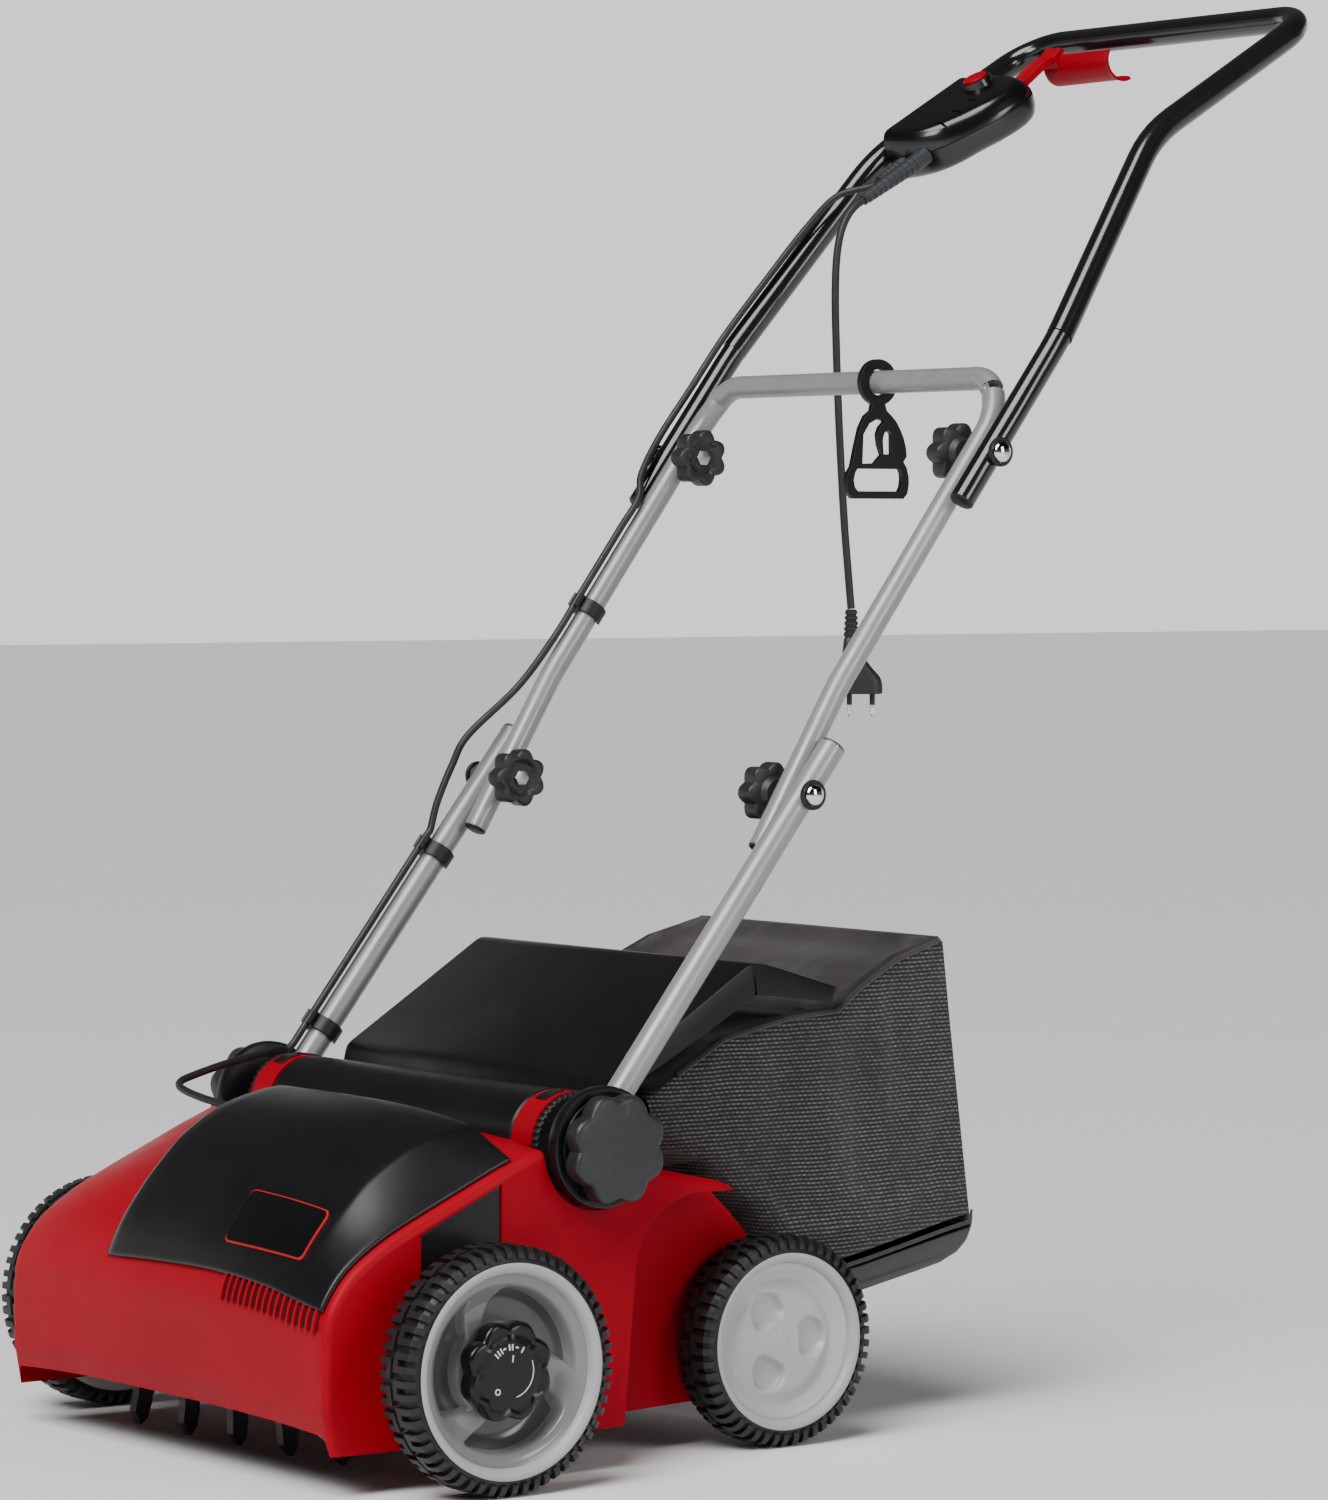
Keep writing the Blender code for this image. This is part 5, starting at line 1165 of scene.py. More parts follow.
def badge_plate(inset, low, high):
    """Rounded rectangle that follows the cover."""
    x0, x1 = BADGE_X[0] + inset, BADGE_X[1] - inset
    t0, t1 = BADGE_T[0] + inset * PER_METRE_LOW, BADGE_T[1] - inset * PER_METRE_LOW
    offsets = (0.0, 0.0003, 0.0010, 0.0022, 0.0045)
    columns = [x0 + d for d in offsets] + spread(x0 + 0.010, x1 - 0.010, 12)
    columns += [x1 - d for d in offsets[::-1]]
    rings = []
    for x in columns:
        short = max(0.0, 1 - min(x - x0, x1 - x) / BADGE_CORNER)
        cut = BADGE_CORNER * (1 - math.sqrt(1 - short ** 2))
        steps = spread(t0 + cut * PER_METRE_LOW, t1 - cut * PER_METRE_HIGH, 14)
        rings.append([hood_spot(x, t, cover_lift(x, t) + high) for t in steps]
                     + [hood_spot(x, t, cover_lift(x, t) + low) for t in steps[::-1]])
    return loft(rings)


def build_pivots():
    y, z = PIVOT
    half = CROSS_HALF
    tube = [(-half, CROSS_R - 0.004), (-half, CROSS_R - 0.0014), (-half + 0.0014, CROSS_R),
            (half - 0.0014, CROSS_R), (half, CROSS_R - 0.0014), (half, CROSS_R - 0.004)]
    add("cross_tube", lathe(tube, y, z, 96), BLACK, "chassis", ("cross_cover",))

    def ribs(x, radius, angle):
        wave = 0.5 + 0.5 * math.cos(angle * 44)
        return x, radius - 0.0012 * (1 - ease(wave, 0.25, 0.6)) if radius > 0.030 else radius

    for side in (1, -1):
        boss = [(BOSS_IN_X + 0.0003, 0.0045), (BOSS_IN_X + 0.0003, CROSS_R - 0.0004),
                (BOSS_IN_X + 0.0012, CROSS_R), (0.2008, CROSS_R), (0.2022, CROSS_R - 0.0015),
                (0.2022, 0.0045)]
        add(tag("pivot_boss_ribbed", side), lathe(boss, y, z, 352, ribs), BLACK_MATT, "chassis",
            (tag("pivot_boss", side),), side)
        disc = [(0.2267, 0.0045), (0.2267, 0.0430), (0.2275, 0.0444), (0.2290, 0.0450),
                (0.2350, 0.0450), (0.2372, 0.0444), (0.2380, 0.0432), (0.2380, 0.0405),
                (0.2368, 0.0398), (0.2368, 0.0375), (0.2380, 0.0368), (0.2380, 0.0045)]
        add(tag("pivot_disc", side), lathe(disc, y, z, 96), BLACK, "lower_handle",
            (tag("pivot_washer", side),), side)


build_hood()
build_cover()
build_pivots()


# ---- wheels -------------------------------------------------------------------------------
def lug(profile, y, z, start, end):
    """Raised bar on a tyre between two angles; profile is (x, low radius, high radius)."""
    rings = []
    for x, low, high in profile:
        rings.append([spot_round(x, y, z, r, a)
                      for r, a in ((low, start), (low, end), (high, end), (high, start))])
    return loft(rings)


def build_tyre(name, y, r_out, r_in, x_in, x_out, body, side, count):
    z = r_out
    base = r_out - 0.0038
    e = 0.0008
    profile = [(x_in + e, r_in), (x_in + e, base - 0.0100), (x_in + 0.0030, base - 0.0032),
               (x_in + 0.0065, base), (x_out - 0.0065, base), (x_out - 0.0030, base - 0.0032),
               (x_out - e, base - 0.0100), (x_out - e, r_in)]
    parts = [lathe(profile, y, z, 120)]
    middle = (x_in + x_out) / 2
    pitch = 2 * math.pi / count
    bar, second = 0.25 * pitch, 0.48 * pitch
    for i in range(count):
        for out in (1, -1):
            edge = x_out if out > 0 else x_in
            turn = pitch * i + (bar if out < 0 else 0.0)
            arm = [(middle + out * 0.0016, base - 0.003, r_out - 0.0001),
                   (edge - out * 0.0075, base - 0.003, r_out - 0.0001),
                   (edge - out * 0.0035, base - 0.006, r_out - 0.0014),
                   (edge - out * 0.0010, r_in + 0.0022, r_out - 0.0045),
                   (edge - out * 0.0001, r_in + 0.0032, r_out - 0.0068)]
            for start in (turn, turn + second):
                parts.append(lug(arm, y, z, start, start + bar))
            bridge = [(middle + out * 0.0016, base - 0.003, r_out - 0.0001),
                      (middle + out * 0.0070, base - 0.003, r_out - 0.0001)]
            parts.append(lug(bridge, y, z, turn + bar, turn + second))
    add(tag(name + "_tread", side), merged(parts), TYRE, body,
        (tag(name + "_tyre", side),), side, sharp=28)


COMMA_DEPTH = 0.0085
COMMA_LEAN = 16                 # radians that a comma leans over a metre of radius
COMMA_FROM_R = 0.04
THIRD = 2 * math.pi / 3


def comma_recess(x, radius, angle):
    """Three sunk comma shapes in the front disc."""
    inner = ease(radius, 0.0340, 0.0375) * (1 - ease(radius, 0.0580, 0.0608))
    lean = (angle + (radius - COMMA_FROM_R) * COMMA_LEAN) % THIRD / THIRD
    gap = ease(lean, 0.10, 0.15) * (1 - ease(lean, 0.84, 0.90))
    return x - COMMA_DEPTH * inner * gap, radius


def painted_comma_shade():
    """Dark glossy sheets laid on the floors of the three comma shapes: painted shade in the
    recesses.
    """
    floors = []
    for k in range(3):
        rings = []
        for u in spread(0.13, 0.865, 30):
            ring = []
            for lift, radii in ((0.0005, spread(0.0366, 0.0590, 9)),
                                (-0.0006, spread(0.0590, 0.0366, 9))):
                for r in radii:
                    angle = (u + k) * THIRD - (r - COMMA_FROM_R) * COMMA_LEAN
                    ring.append(spot_round(disc_face(r) - COMMA_DEPTH + lift, 0, FRONT_R, r,
                                           angle))
            rings.append(ring)
        floors.append(loft(rings))
    return merged(floors)


def disc_face(r):
    """Place of the front disc's face along X, at a radius."""
    return 0.2862 - 0.0130 * ease(0.0672 - r, 0.0, 0.0190)


DIMPLE_TURN = math.radians(62)
DIMPLE_R = 0.0285
DIMPLE_HALF = (0.0175, 0.0135)      # along the disc and across it


def dimple_recess(x, radius, angle):
    """Three oval dimples in the rear disc."""
    turn = (angle - DIMPLE_TURN) % THIRD - THIRD / 2
    d = math.hypot(turn * radius / DIMPLE_HALF[0], (radius - DIMPLE_R) / DIMPLE_HALF[1])
    return x - 0.0068 * (1 - ease(d, 0.70, 1.0)), radius


def wheel_ring(rows, y, z, name, body, side, mat, nodes, shape=None, sides=120):
    add(tag(name, side), lathe(rows, y, z, sides, shape), mat, body, nodes,
        side, sharp=44)


def build_wheels():
    for side in (1, -1):
        body = tag("front_wheel", side)
        build_tyre("front", 0, FRONT_R, 0.0786, FRONT_IN_X, FRONT_OUT_X, body, side, 28)
        ring = [(0.2530, 0.0690), (0.2530, 0.0782), (0.2915, 0.0784), (0.2930, 0.0778),
                (0.2936, 0.0762), (0.2934, 0.0742), (0.2925, 0.0722), (0.2905, 0.0706),
                (0.2870, 0.0694), (0.2600, 0.0680)]
        wheel_ring(ring, 0, FRONT_R, "front_ring", body, side, RING, (tag("front_rim", side),))
        face = [(0.2620, 0.0076), (0.2620, 0.0684), (0.2868, 0.0692), (0.2862, 0.0672)]
        face += [(disc_face(r), r) for r in spread(0.0664, 0.0300, 34)]
        face += [(0.2725, 0.0250), (0.2725, 0.0076)]
        wheel_ring(face, 0, FRONT_R, "front_disc", body, side, DISC, (), comma_recess, 180)
        # Dark sheets on the comma floors: painted shade in the recesses.
        add(tag("front_comma_shade_sheets", side), painted_comma_shade(), COMMA_SHADE, body, (), side)
        build_dial(side)
        body = tag("rear_wheel", side)
        build_tyre("rear", REAR_Y, REAR_R, 0.0670, REAR_IN_X, REAR_OUT_X, body, side, 25)
        ring = [(0.1850, 0.0580), (0.1850, 0.0668), (0.2222, 0.0672), (0.2236, 0.0666),
                (0.2240, 0.0652), (0.2238, 0.0632), (0.2226, 0.0612), (0.2204, 0.0598),
                (0.2180, 0.0590), (0.1900, 0.0580)]
        wheel_ring(ring, REAR_Y, REAR_R, "rear_ring", body, side, RING, (tag("rear_rim", side),))
        face = [(0.2000, 0.0056), (0.2000, 0.0586), (0.2178, 0.0588)]
        face += [(0.2178 - 0.0060 * ease(0.0580 - r, 0.0, 0.0110)
                  + 0.0035 * ease(0.0480 - r, 0.0, 0.0120), r) for r in spread(0.0580, 0.0060, 44)]
        wheel_ring(face, REAR_Y, REAR_R, "rear_disc", body, side, REAR_DISC, (), dimple_recess, 180)
        cap = [(0.2080, 0.0), (0.2080, 0.0062), (0.2152, 0.0062), (0.2156, 0.0050), (0.2157, 0.0)]
        wheel_ring(cap, REAR_Y, REAR_R, "rear_cap", body, side, REAR_DISC, (), None, 40)


MARKS_X = (0.2922 - 0.0012, 0.2922)


def build_dial(side):
    """Lobed depth dial with plain tally marks."""
    body = tag("depth_knob", side) + "_body"

    def crown(r, angle):
        return 0.0011 * ease(r, 0.0240, 0.0262) * (1 - ease(r, 0.0290, 0.0315))

    head = star_head(0, FRONT_R, 0.2760, 0.2915, 0.0370, 8, 0.0046, crown, 14, 0.0004)
    add(tag("depth_dial", side), head, DIAL, body,
        (tag("depth_knob", side),), side)
    back = lathe([(0.2735, 0), (0.2735, 0.0200), (0.2765, 0.0250), (0.2765, 0)], 0, FRONT_R, 48)
    add(tag("depth_dial_back", side), back, DIAL, body, (), side)
    marks = []
    for angle, tally in ((128, 3), (92, 2), (58, 1)):
        for k in range(tally):
            turn = math.radians(angle) + (k - (tally - 1) / 2) * 0.150
            marks.append(radial_bar(turn, 0.0155, 0.0200, 0.00055))
    for angle in (110, 75):
        marks.append(radial_bar(math.radians(angle), 0.0172, 0.0184, 0.0012))
    zero = arc(-0.0120, FRONT_R - 0.0135, 0.0024, 0, 350, 24)
    zero += arc(-0.0120, FRONT_R - 0.0135, 0.0015, 350, 0, 24)
    marks.append(prism(zero, *MARKS_X))
    sweep = arc(0, FRONT_R, 0.0190, -78, 22, 30) + arc(0, FRONT_R, 0.0184, 22, -78, 30)
    marks.append(prism(sweep, *MARKS_X))
    marks.append(radial_bar(math.radians(84), 0.0070, 0.0120, 0.0005))
    add(tag("depth_marks", side), merged(marks), WHITE_MARK, body, (), side)


def radial_bar(angle, r0, r1, half):
    """White bar on the dial's face, along a radius."""
    along_bar = Vector((math.cos(angle), math.sin(angle)))
    across = Vector((-along_bar.y, along_bar.x)) * half
    centre = Vector((0, FRONT_R))
    corners = [centre + along_bar * r0 - across, centre + along_bar * r1 - across,
               centre + along_bar * r1 + across, centre + along_bar * r0 + across]
    return prism([(p.x, p.y) for p in corners], *MARKS_X)


build_wheels()


# ---- switch box, button and lever ---------------------------------------------------------
BOX_PLAN = [(0.000, 0.000), (0.002, 0.018), (0.008, 0.036), (0.022, 0.052), (0.046, 0.064),
            (0.074, 0.073), (0.100, 0.074), (0.116, 0.066), (0.122, 0.048), (0.120, 0.022),
            (0.112, 0.000)]
BUTTON_AT = (0.097, 0.026)
GRIP_AXIS = (0.8505, 1.0840)


def box_ring(height, inset, tilt):
    """Outline of the switch box at a height, drawn in by inset."""
    middle = Vector((0.060, 0.034))
    ring = []
    for length, inward in smooth_curve(BOX_PLAN, 7):
        spot = Vector((length, inward))
        flat = inward <= 0.0004
        spot = spot + (middle - spot).normalized() * inset
        if flat:
            spot.y = 0.0
        ring.append(box_point(spot.x, spot.y, height - tilt * spot.y))
    return ring


def lid_column(radius, low, high):
    """Upright column across the lid, centred on the button, from (height, growth) to another."""
    length, inward = BUTTON_AT
    slope, _ = box_axes()
    along_box, across_box = Vector((0, *slope)), Vector((1, 0, 0))
    sections = []
    for height, grow in low, high:
        centre = box_point(length, inward, height - BOX_TILT * inward)
        sections.append([centre + across_box * a + along_box * b
                         for a, b in circle(0, 0, radius + grow, 56)])
    return loft(sections)


LID_SLOTS_AT = (0.030, 0.050, 0.070)


def lid_bar(length, half, start, end, heights):
    """Upright bar across the lid, between two heights over its slope."""
    return loft([[box_point(length + a, inward, height - BOX_TILT * inward)
                  for a, inward in ((-half, start), (half, start), (half, end), (-half, end))]
                 for height in heights])


def build_switch():
    steps = [(-0.0266, 0.0140, 0.0), (-0.0261, 0.0110, 0.0), (-0.0247, 0.0080, 0.0),
             (-0.0222, 0.0050, 0.0), (-0.0190, 0.0030, 0.0), (-0.0140, 0.0012, 0.0),
             (-0.0070, 0.0002, 0.02), (-0.0032, 0.0, 0.04), (-0.0028, 0.0009, 0.04),
             (-0.0020, 0.0009, 0.05), (-0.0016, 0.0, 0.05), (0.0040, 0.0003, 0.09),
             (0.0090, 0.0012, 0.14), (0.0135, 0.0030, 0.15), (0.0165, 0.0052, 0.15),
             (0.0185, 0.0078, 0.15), (0.0194, 0.0100, 0.15), (0.0198, 0.0125, 0.15),
             (0.0200, 0.0160, 0.15)]
    shell = loft([box_ring(*step) for step in steps])
    slots = [lid_bar(length, 0.0011, 0.042, 0.052, (0.0165, 0.0260)) for length in LID_SLOTS_AT]
    slots.append(lid_column(0.0112, (BOX_TOP - 0.011, 0), (BOX_TOP + 0.02, 0)))
    pocket = [box_point(*spot) for spot in ((0.070, 0.032, -0.011), (0.140, 0.032, -0.011),
                                            (0.140, 0.032, 0.0120), (0.070, 0.032, 0.0045))]
    slots.append(loft([pocket, [p + Vector((0.024, 0, 0)) for p in pocket]]))
    collar = lid_column(0.0142, (BOX_TOP - 0.006, 0.0010), (BOX_TOP + 0.0038, -0.0006))
    shell = carve("box", carve("lid", shell, [], [collar]), slots)
    add("switch_case", shell, BLACK_GLOSS, "upper_handle_body", ("switch_box",),
        sharp=36, bevel=0.0005, angle=50)
    floors = [lid_bar(length, 0.001, 0.0424, 0.0516, (0.0142, 0.0172)) for length in LID_SLOTS_AT]
    add("lid_slots", merged(floors), BLACK_MATT, "upper_handle_body")
    button = [lid_column(0.0106, (BOX_TOP - 0.0045, 0), (BOX_TOP + 0.0048, 0)),
              lid_column(0.0106, (BOX_TOP + 0.0048, 0), (BOX_TOP + 0.0060, -0.0008)),
              lid_column(0.0098, (BOX_TOP + 0.0060, 0), (BOX_TOP + 0.0065, -0.0022))]
    add("button_cap", merged(button), RED, "button", ("safety_button",))
    build_lever()


def build_lever():
    arm = []
    for length, top in smooth_curve([(0.0735, 0.0000), (0.100, 0.0012), (0.124, 0.0030),
                                     (0.150, 0.0060), (0.1715, 0.0050)], 5):
        low = top - 0.0066
        arm.append([box_point(length, inward, height)
                    for inward, height in ((0.0350, low), (0.0350, top), (0.0375, top),
                                           (0.0387, top - 0.0014), (0.0493, top - 0.0014),
                                           (0.0505, top), (0.0530, top), (0.0530, low))])
    add("lever_arm", loft(arm), RED, "lever", ("switch_lever",), bevel=0.0007)
    sections = []
    outer, inner = 0.0165, 0.0140
    for x, flare in ((-0.1330, 0.0), (-0.1325, 0.0004), (-0.0560, 0.0), (-0.0500, 0.0006),
                     (-0.0480, 0.0016)):
        ring = []
        for radius, start, end in ((outer + flare, 150, 300), (inner + flare, 300, 150)):
            ring += [(x, y, z) for y, z in arc(*GRIP_AXIS, radius, start, end, 26)]
        sections.append(ring)
    add("lever_grip", loft(sections), RED, "lever", bevel=0.0006)
    web = []
    for x in (-0.1310, -0.1110):
        web.append([(x, y, z) for y, z in ((0.8338, 1.0800), (0.8362, 1.0912), (0.8405, 1.0960),
                                            (0.8345, 1.0985), (0.8260, 1.0890))])
    add("lever_knee", loft(web), RED, "lever", bevel=0.0010)


build_switch()
ribbed_boot("lead_boot_ribbed", 0.0150, -0.0080, 0.0062, 0.0044, 0.003, 0.0295)


# ---- cord hook ----------------------------------------------------------------------------
def build_hook():
    y0, z0 = CROSSBAR
    x0, x1 = 0.0257, 0.0308
    ring = arc(y0, z0, 0.0185, 250, -70, 60)
    body = [(0.0080, -0.0225), (0.0125, -0.0262), (0.0175, -0.0310), (0.0215, -0.0370),
            (0.0250, -0.0440), (0.0275, -0.0520), (0.0282, -0.0590), (0.0250, -0.0632),
            (0.0282, -0.0680), (0.0302, -0.0750), (0.0304, -0.0810), (0.0290, -0.0885),
            (0.0250, -0.0928), (-0.0262, -0.0928), (-0.0310, -0.0880), (-0.0326, -0.0800),
            (-0.0312, -0.0730), (-0.0270, -0.0670), (-0.0232, -0.0517), (-0.0190, -0.0365),
            (-0.0135, -0.0268), (-0.0075, -0.0225)]
    outline = ring + [(y0 + a, z0 + b) for a, b in body]
    loop = [(0.0215, -0.0690), (0.0232, -0.0725), (0.0236, -0.0770), (0.0228, -0.0830),
            (0.0205, -0.0868), (-0.0210, -0.0868), (-0.0240, -0.0835), (-0.0252, -0.0780),
            (-0.0236, -0.0720), (-0.0215, -0.0690)]
    window = [(-0.0165, -0.0648), (-0.0155, -0.0416), (-0.0095, -0.0330), (-0.0010, -0.0290),
              (0.0058, -0.0312), (0.0012, -0.0355), (-0.0012, -0.0416), (0.0000, -0.0500),
              (0.0031, -0.0578), (-0.0040, -0.0645)]
    eye = [(0.0048, -0.0572), (0.0040, -0.0460), (0.0055, -0.0405), (0.0092, -0.0375),
           (0.0128, -0.0408), (0.0132, -0.0572)]
    shapes = [prism(circle(y0, z0, MID_R + 0.0012, 48), 0.0, 0.06)]
    shapes += [prism([(y0 + a, z0 + b) for a, b in hole], 0.0, 0.06)
               for hole in (loop, window, eye)]
    hook = carve("hook", prism(outline, x0, x1), shapes)
    add("hook_moulding", hook, BLACK, "hook", ("cord_hook",), bevel=0.0012,
        segments=3)


build_hook()


# ---- flap ---------------------------------------------------------------------------------
def build_flap():
    line = [(0.1588, 0.2672, 0.003), (0.1600, 0.2705, 0.004), (0.1618, 0.2760, 0.006),
            (0.1637, 0.2805, 0.009), (0.1658, 0.2831, 0.012), (0.1685, 0.2852, 0.013),
            (0.1720, 0.2874, 0.014),
            (0.1800, 0.2924, 0.016), (0.2400, 0.3302, 0.021), (0.2840, 0.3581, 0.024),
            (0.2875, 0.3602, 0.024), (0.2915, 0.3618, 0.024), (0.2960, 0.3620, 0.024),
            (0.3060, 0.3608, 0.024), (0.3180, 0.3577, 0.022), (0.3640, 0.3440, 0.014),
            (0.3710, 0.3419, 0.013), (0.3750, 0.3407, 0.012), (0.3775, 0.3396, 0.012)]
    half, wall = 0.1837, 0.0025
    rings = []
    for i, (y, z, hang) in enumerate(line):
        a, b = line[max(i - 1, 0)], line[min(i + 1, len(line) - 1)]
        direction = Vector((b[0] - a[0], b[1] - a[1])).normalized()
        down = Vector((direction.y, -direction.x))
        end = min(i, len(line) - 1 - i)
        narrow = (0.0030, 0.0012, 0.0003, 0.0)[min(end, 3)]
        edge = half - narrow
        ring = []
        for x, drop in ((-edge + 0.0016, 0), (edge - 0.0016, 0), (edge - 0.0004, 0.0005),
                        (edge, 0.0018), (edge, hang), (edge - wall, hang), (edge - wall, wall),
                        (wall - edge, wall), (wall - edge, hang), (-edge, hang),
                        (-edge, 0.0018), (-edge + 0.0004, 0.0005)):
            ring.append((x, y + down.x * drop, z + down.y * drop))
        rings.append(ring)
    add("flap_plate", loft(rings), BLACK, "flap", ("discharge_flap",), sharp=30,
        bevel=0.0008, segments=3, angle=60)


build_flap()


# ---- bag ----------------------------------------------------------------------------------
BAG_EDGES = [((0.2000, 0.2660), (0.2060, 0.2290)), ((0.2720, 0.3070), (0.2560, 0.2140)),
             ((0.3100, 0.3150), (0.3020, 0.1740)), ((0.3400, 0.3210), (0.3280, 0.1140)),
             ((0.3820, 0.3230), (0.3700, 0.1196)), ((0.4050, 0.3390), (0.4040, 0.1245)),
             ((0.4450, 0.3590), (0.4500, 0.1325)), ((0.4920, 0.3720), (0.5215, 0.1455))]
BAG_FLOOR = 3
BAG_CORNER = 0.010
BAG_UP, BAG_ACROSS = 22, 26         # steps up a side and across the top or the bottom
BAG_STEPS = (5, 3, 2, 3, 3, 4, 5)   # steps between the edges' points
CLOTH = 0.0012


def bag_half(y):
    return 0.1780 - 0.0190 * max(0.0, min(1.0, (y - 0.36) / 0.14))


def bag_frame(t):
    """Top and bottom edge points at a real station."""
    k = min(int(t), len(BAG_EDGES) - 2)
    u = t - k
    (ta, ba), (tb, bb) = BAG_EDGES[k], BAG_EDGES[k + 1]
    return Vector(ta).lerp(Vector(tb), u), Vector(ba).lerp(Vector(bb), u)


def bag_ring(top, bottom):
    """Closed frame of points: up one side, over the top, down the other and back below."""
    up, across = BAG_UP, BAG_ACROSS
    cut = (bottom - top).normalized() * BAG_CORNER
    side = [(bottom - cut + (top + cut - bottom + cut) * (i / up), 0.0) for i in range(up + 1)]
    side.append((top + cut * 0.30, BAG_CORNER * 0.30))
    ring = [(bag_half(p.x) - back, p.x, p.y) for p, back in side]
    half = bag_half(top.x) - BAG_CORNER
    ring += [(half - 2 * half * i / across, top.x, top.y) for i in range(across + 1)]
    ring += [(-x, y, z) for x, y, z in [ring[up + 1]] + ring[up::-1]]
    low = bag_half(bottom.x) - BAG_CORNER
    end = bag_half(bottom.x) - BAG_CORNER * 0.3
    near = bottom - cut * 0.3
    base = [(-low + 2 * low * i / across, *bottom) for i in range(across + 1)]
    return ring + [(-end, *near)] + base + [(end, *near)]


def build_bag():
    """Sewn shell with an open mouth and an open floor over the tray, sagged by a cloth run."""
    bm = bmesh.new()
    stations = [k + i / steps for k, steps in enumerate(BAG_STEPS) for i in range(steps)]
    stations.append(float(len(BAG_STEPS)))
    rings = [[bm.verts.new(p) for p in bag_ring(*bag_frame(t))] for t in stations]
    count = len(rings[0])
    base_from = count - (BAG_ACROSS + 3)
    for t, a, b in zip(stations, rings, rings[1:]):
        for i in range(count):
            if t >= BAG_FLOOR and base_from <= i:
                continue
            j = (i + 1) % count
            bm.faces.new((a[i], a[j], b[j], b[i]))
    rear_grid(bm, rings[-1], base_from)
    over = BAG_UP + 2
    seams = (0, over - 2, over - 1, over, over + BAG_ACROSS, over + BAG_ACROSS + 1,
             over + BAG_ACROSS + 2, base_from - 1, count - 1)
    fixed = {ring[i] for ring in rings for i in seams}
    for t, ring in zip(stations, rings):
        if t >= BAG_FLOOR:
            fixed.update([ring[0], ring[1], ring[base_from - 1], ring[base_from - 2]])
        if t == 0.0 or t == stations[-1]:
            fixed.update(ring)
    bm.verts.index_update()
    pins = [v.index for v in fixed]
    obj = plain_object("bag_cloth", bm)
    mesh = obj.data
    mesh.transform(Matrix.Translation((0, AXLE_Y, 0)))
    sag(obj, pins)
    shade(mesh, BAG_CLOTH, 38)
    thick = obj.modifiers.new("cloth_thickness", "SOLIDIFY")
    thick.thickness = CLOTH
    thick.offset = 1.0 if mesh_faces_out(mesh) else -1.0
    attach(obj, "bag")
    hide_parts("bag_fabric")
    return obj


def new_face(bm, corners):
    """Face between the corners that differ, unless it is there already."""
    corners = list(dict.fromkeys(corners))
    if len(corners) > 2 and bm.faces.get(corners) is None:
        bm.faces.new(corners)


def rear_grid(bm, ring, base_from):
    """Fill the bag's rear with rows that run between its two sides."""
    up, across = BAG_UP, BAG_ACROSS
    right = ring[:up + 2]
    top = ring[up + 2:up + 3 + across]
    left = ring[base_from - 1:up + 2 + across:-1]
    bottom = ring[base_from:]
    rows = [bottom[1:-1][::-1]]
    for k in range(1, up):
        a, b = right[k].co, left[k].co
        inner = [bm.verts.new(a.lerp(b, i / across)) for i in range(1, across)]
        rows.append([right[k]] + inner + [left[k]])
    rows.append(top)
    for low, high in zip(rows, rows[1:]):
        for i in range(across):
            new_face(bm, (low[i], low[i + 1], high[i + 1], high[i]))
    extra = [(right[0], rows[0][0], rows[1][0]), (left[0], rows[0][-1], rows[1][-1])]
    extra += [(right[0], bottom[-1], rows[0][0]), (left[0], bottom[0], rows[0][-1])]
    extra += [(right[up], right[up + 1], top[0]), (left[up], left[up + 1], top[-1])]
    extra += [(right[up - 1], right[up], top[0]), (left[up - 1], left[up], top[-1])]
    for corners in extra:
        new_face(bm, corners)


def mesh_faces_out(mesh):
    centre = sum((v.co for v in mesh.vertices), Vector()) / len(mesh.vertices)
    score = sum((poly.center - centre).dot(poly.normal) * poly.area for poly in mesh.polygons)
    return score > 0


SAG_FRAMES = 22
SAG_REACH = 0.007       # furthest that a point may move


def sag(obj, pins):
    """Let the panels slump and billow a little between their sewn edges."""
    mesh = obj.data
    before = [v.co.copy() for v in mesh.vertices]
    normals = [v.normal.copy() for v in mesh.vertices]
    pinned = set(pins)
    for v, normal in zip(mesh.vertices, normals):
        if v.index not in pinned:
            puff = noise.noise(v.co * 14) * 0.0016 + noise.noise(v.co * 40) * 0.0006
            v.co = v.co + normal * puff
    group = obj.vertex_groups.new(name="sewn")
    group.add(list(pinned), 1.0, "REPLACE")
    cloth = obj.modifiers.new("cloth", "CLOTH")
    for setting, value in (("vertex_group_mass", "sewn"), ("quality", 6), ("mass", 0.25),
                           ("tension_stiffness", 14), ("compression_stiffness", 14),
                           ("shear_stiffness", 5), ("bending_stiffness", 0.4),
                           ("shrink_min", -0.012)):
        setattr(cloth.settings, setting, value)
    cloth.collision_settings.use_collision = False
    scene = bpy.context.scene
    for frame_number in range(1, SAG_FRAMES + 1):
        scene.frame_set(frame_number)
    graph = bpy.context.evaluated_depsgraph_get()
    result = [v.co.copy() for v in obj.evaluated_get(graph).to_mesh().vertices]
    obj.modifiers.remove(cloth)
    scene.frame_set(1)
    for v, old, new in zip(mesh.vertices, before, result):
        move = new - old
        if move.length > SAG_REACH:
            move = move.normalized() * SAG_REACH
        v.co = old + move
    mesh.update()


WEAVE_PITCH, DASH_PITCH = 0.0032, 0.0050


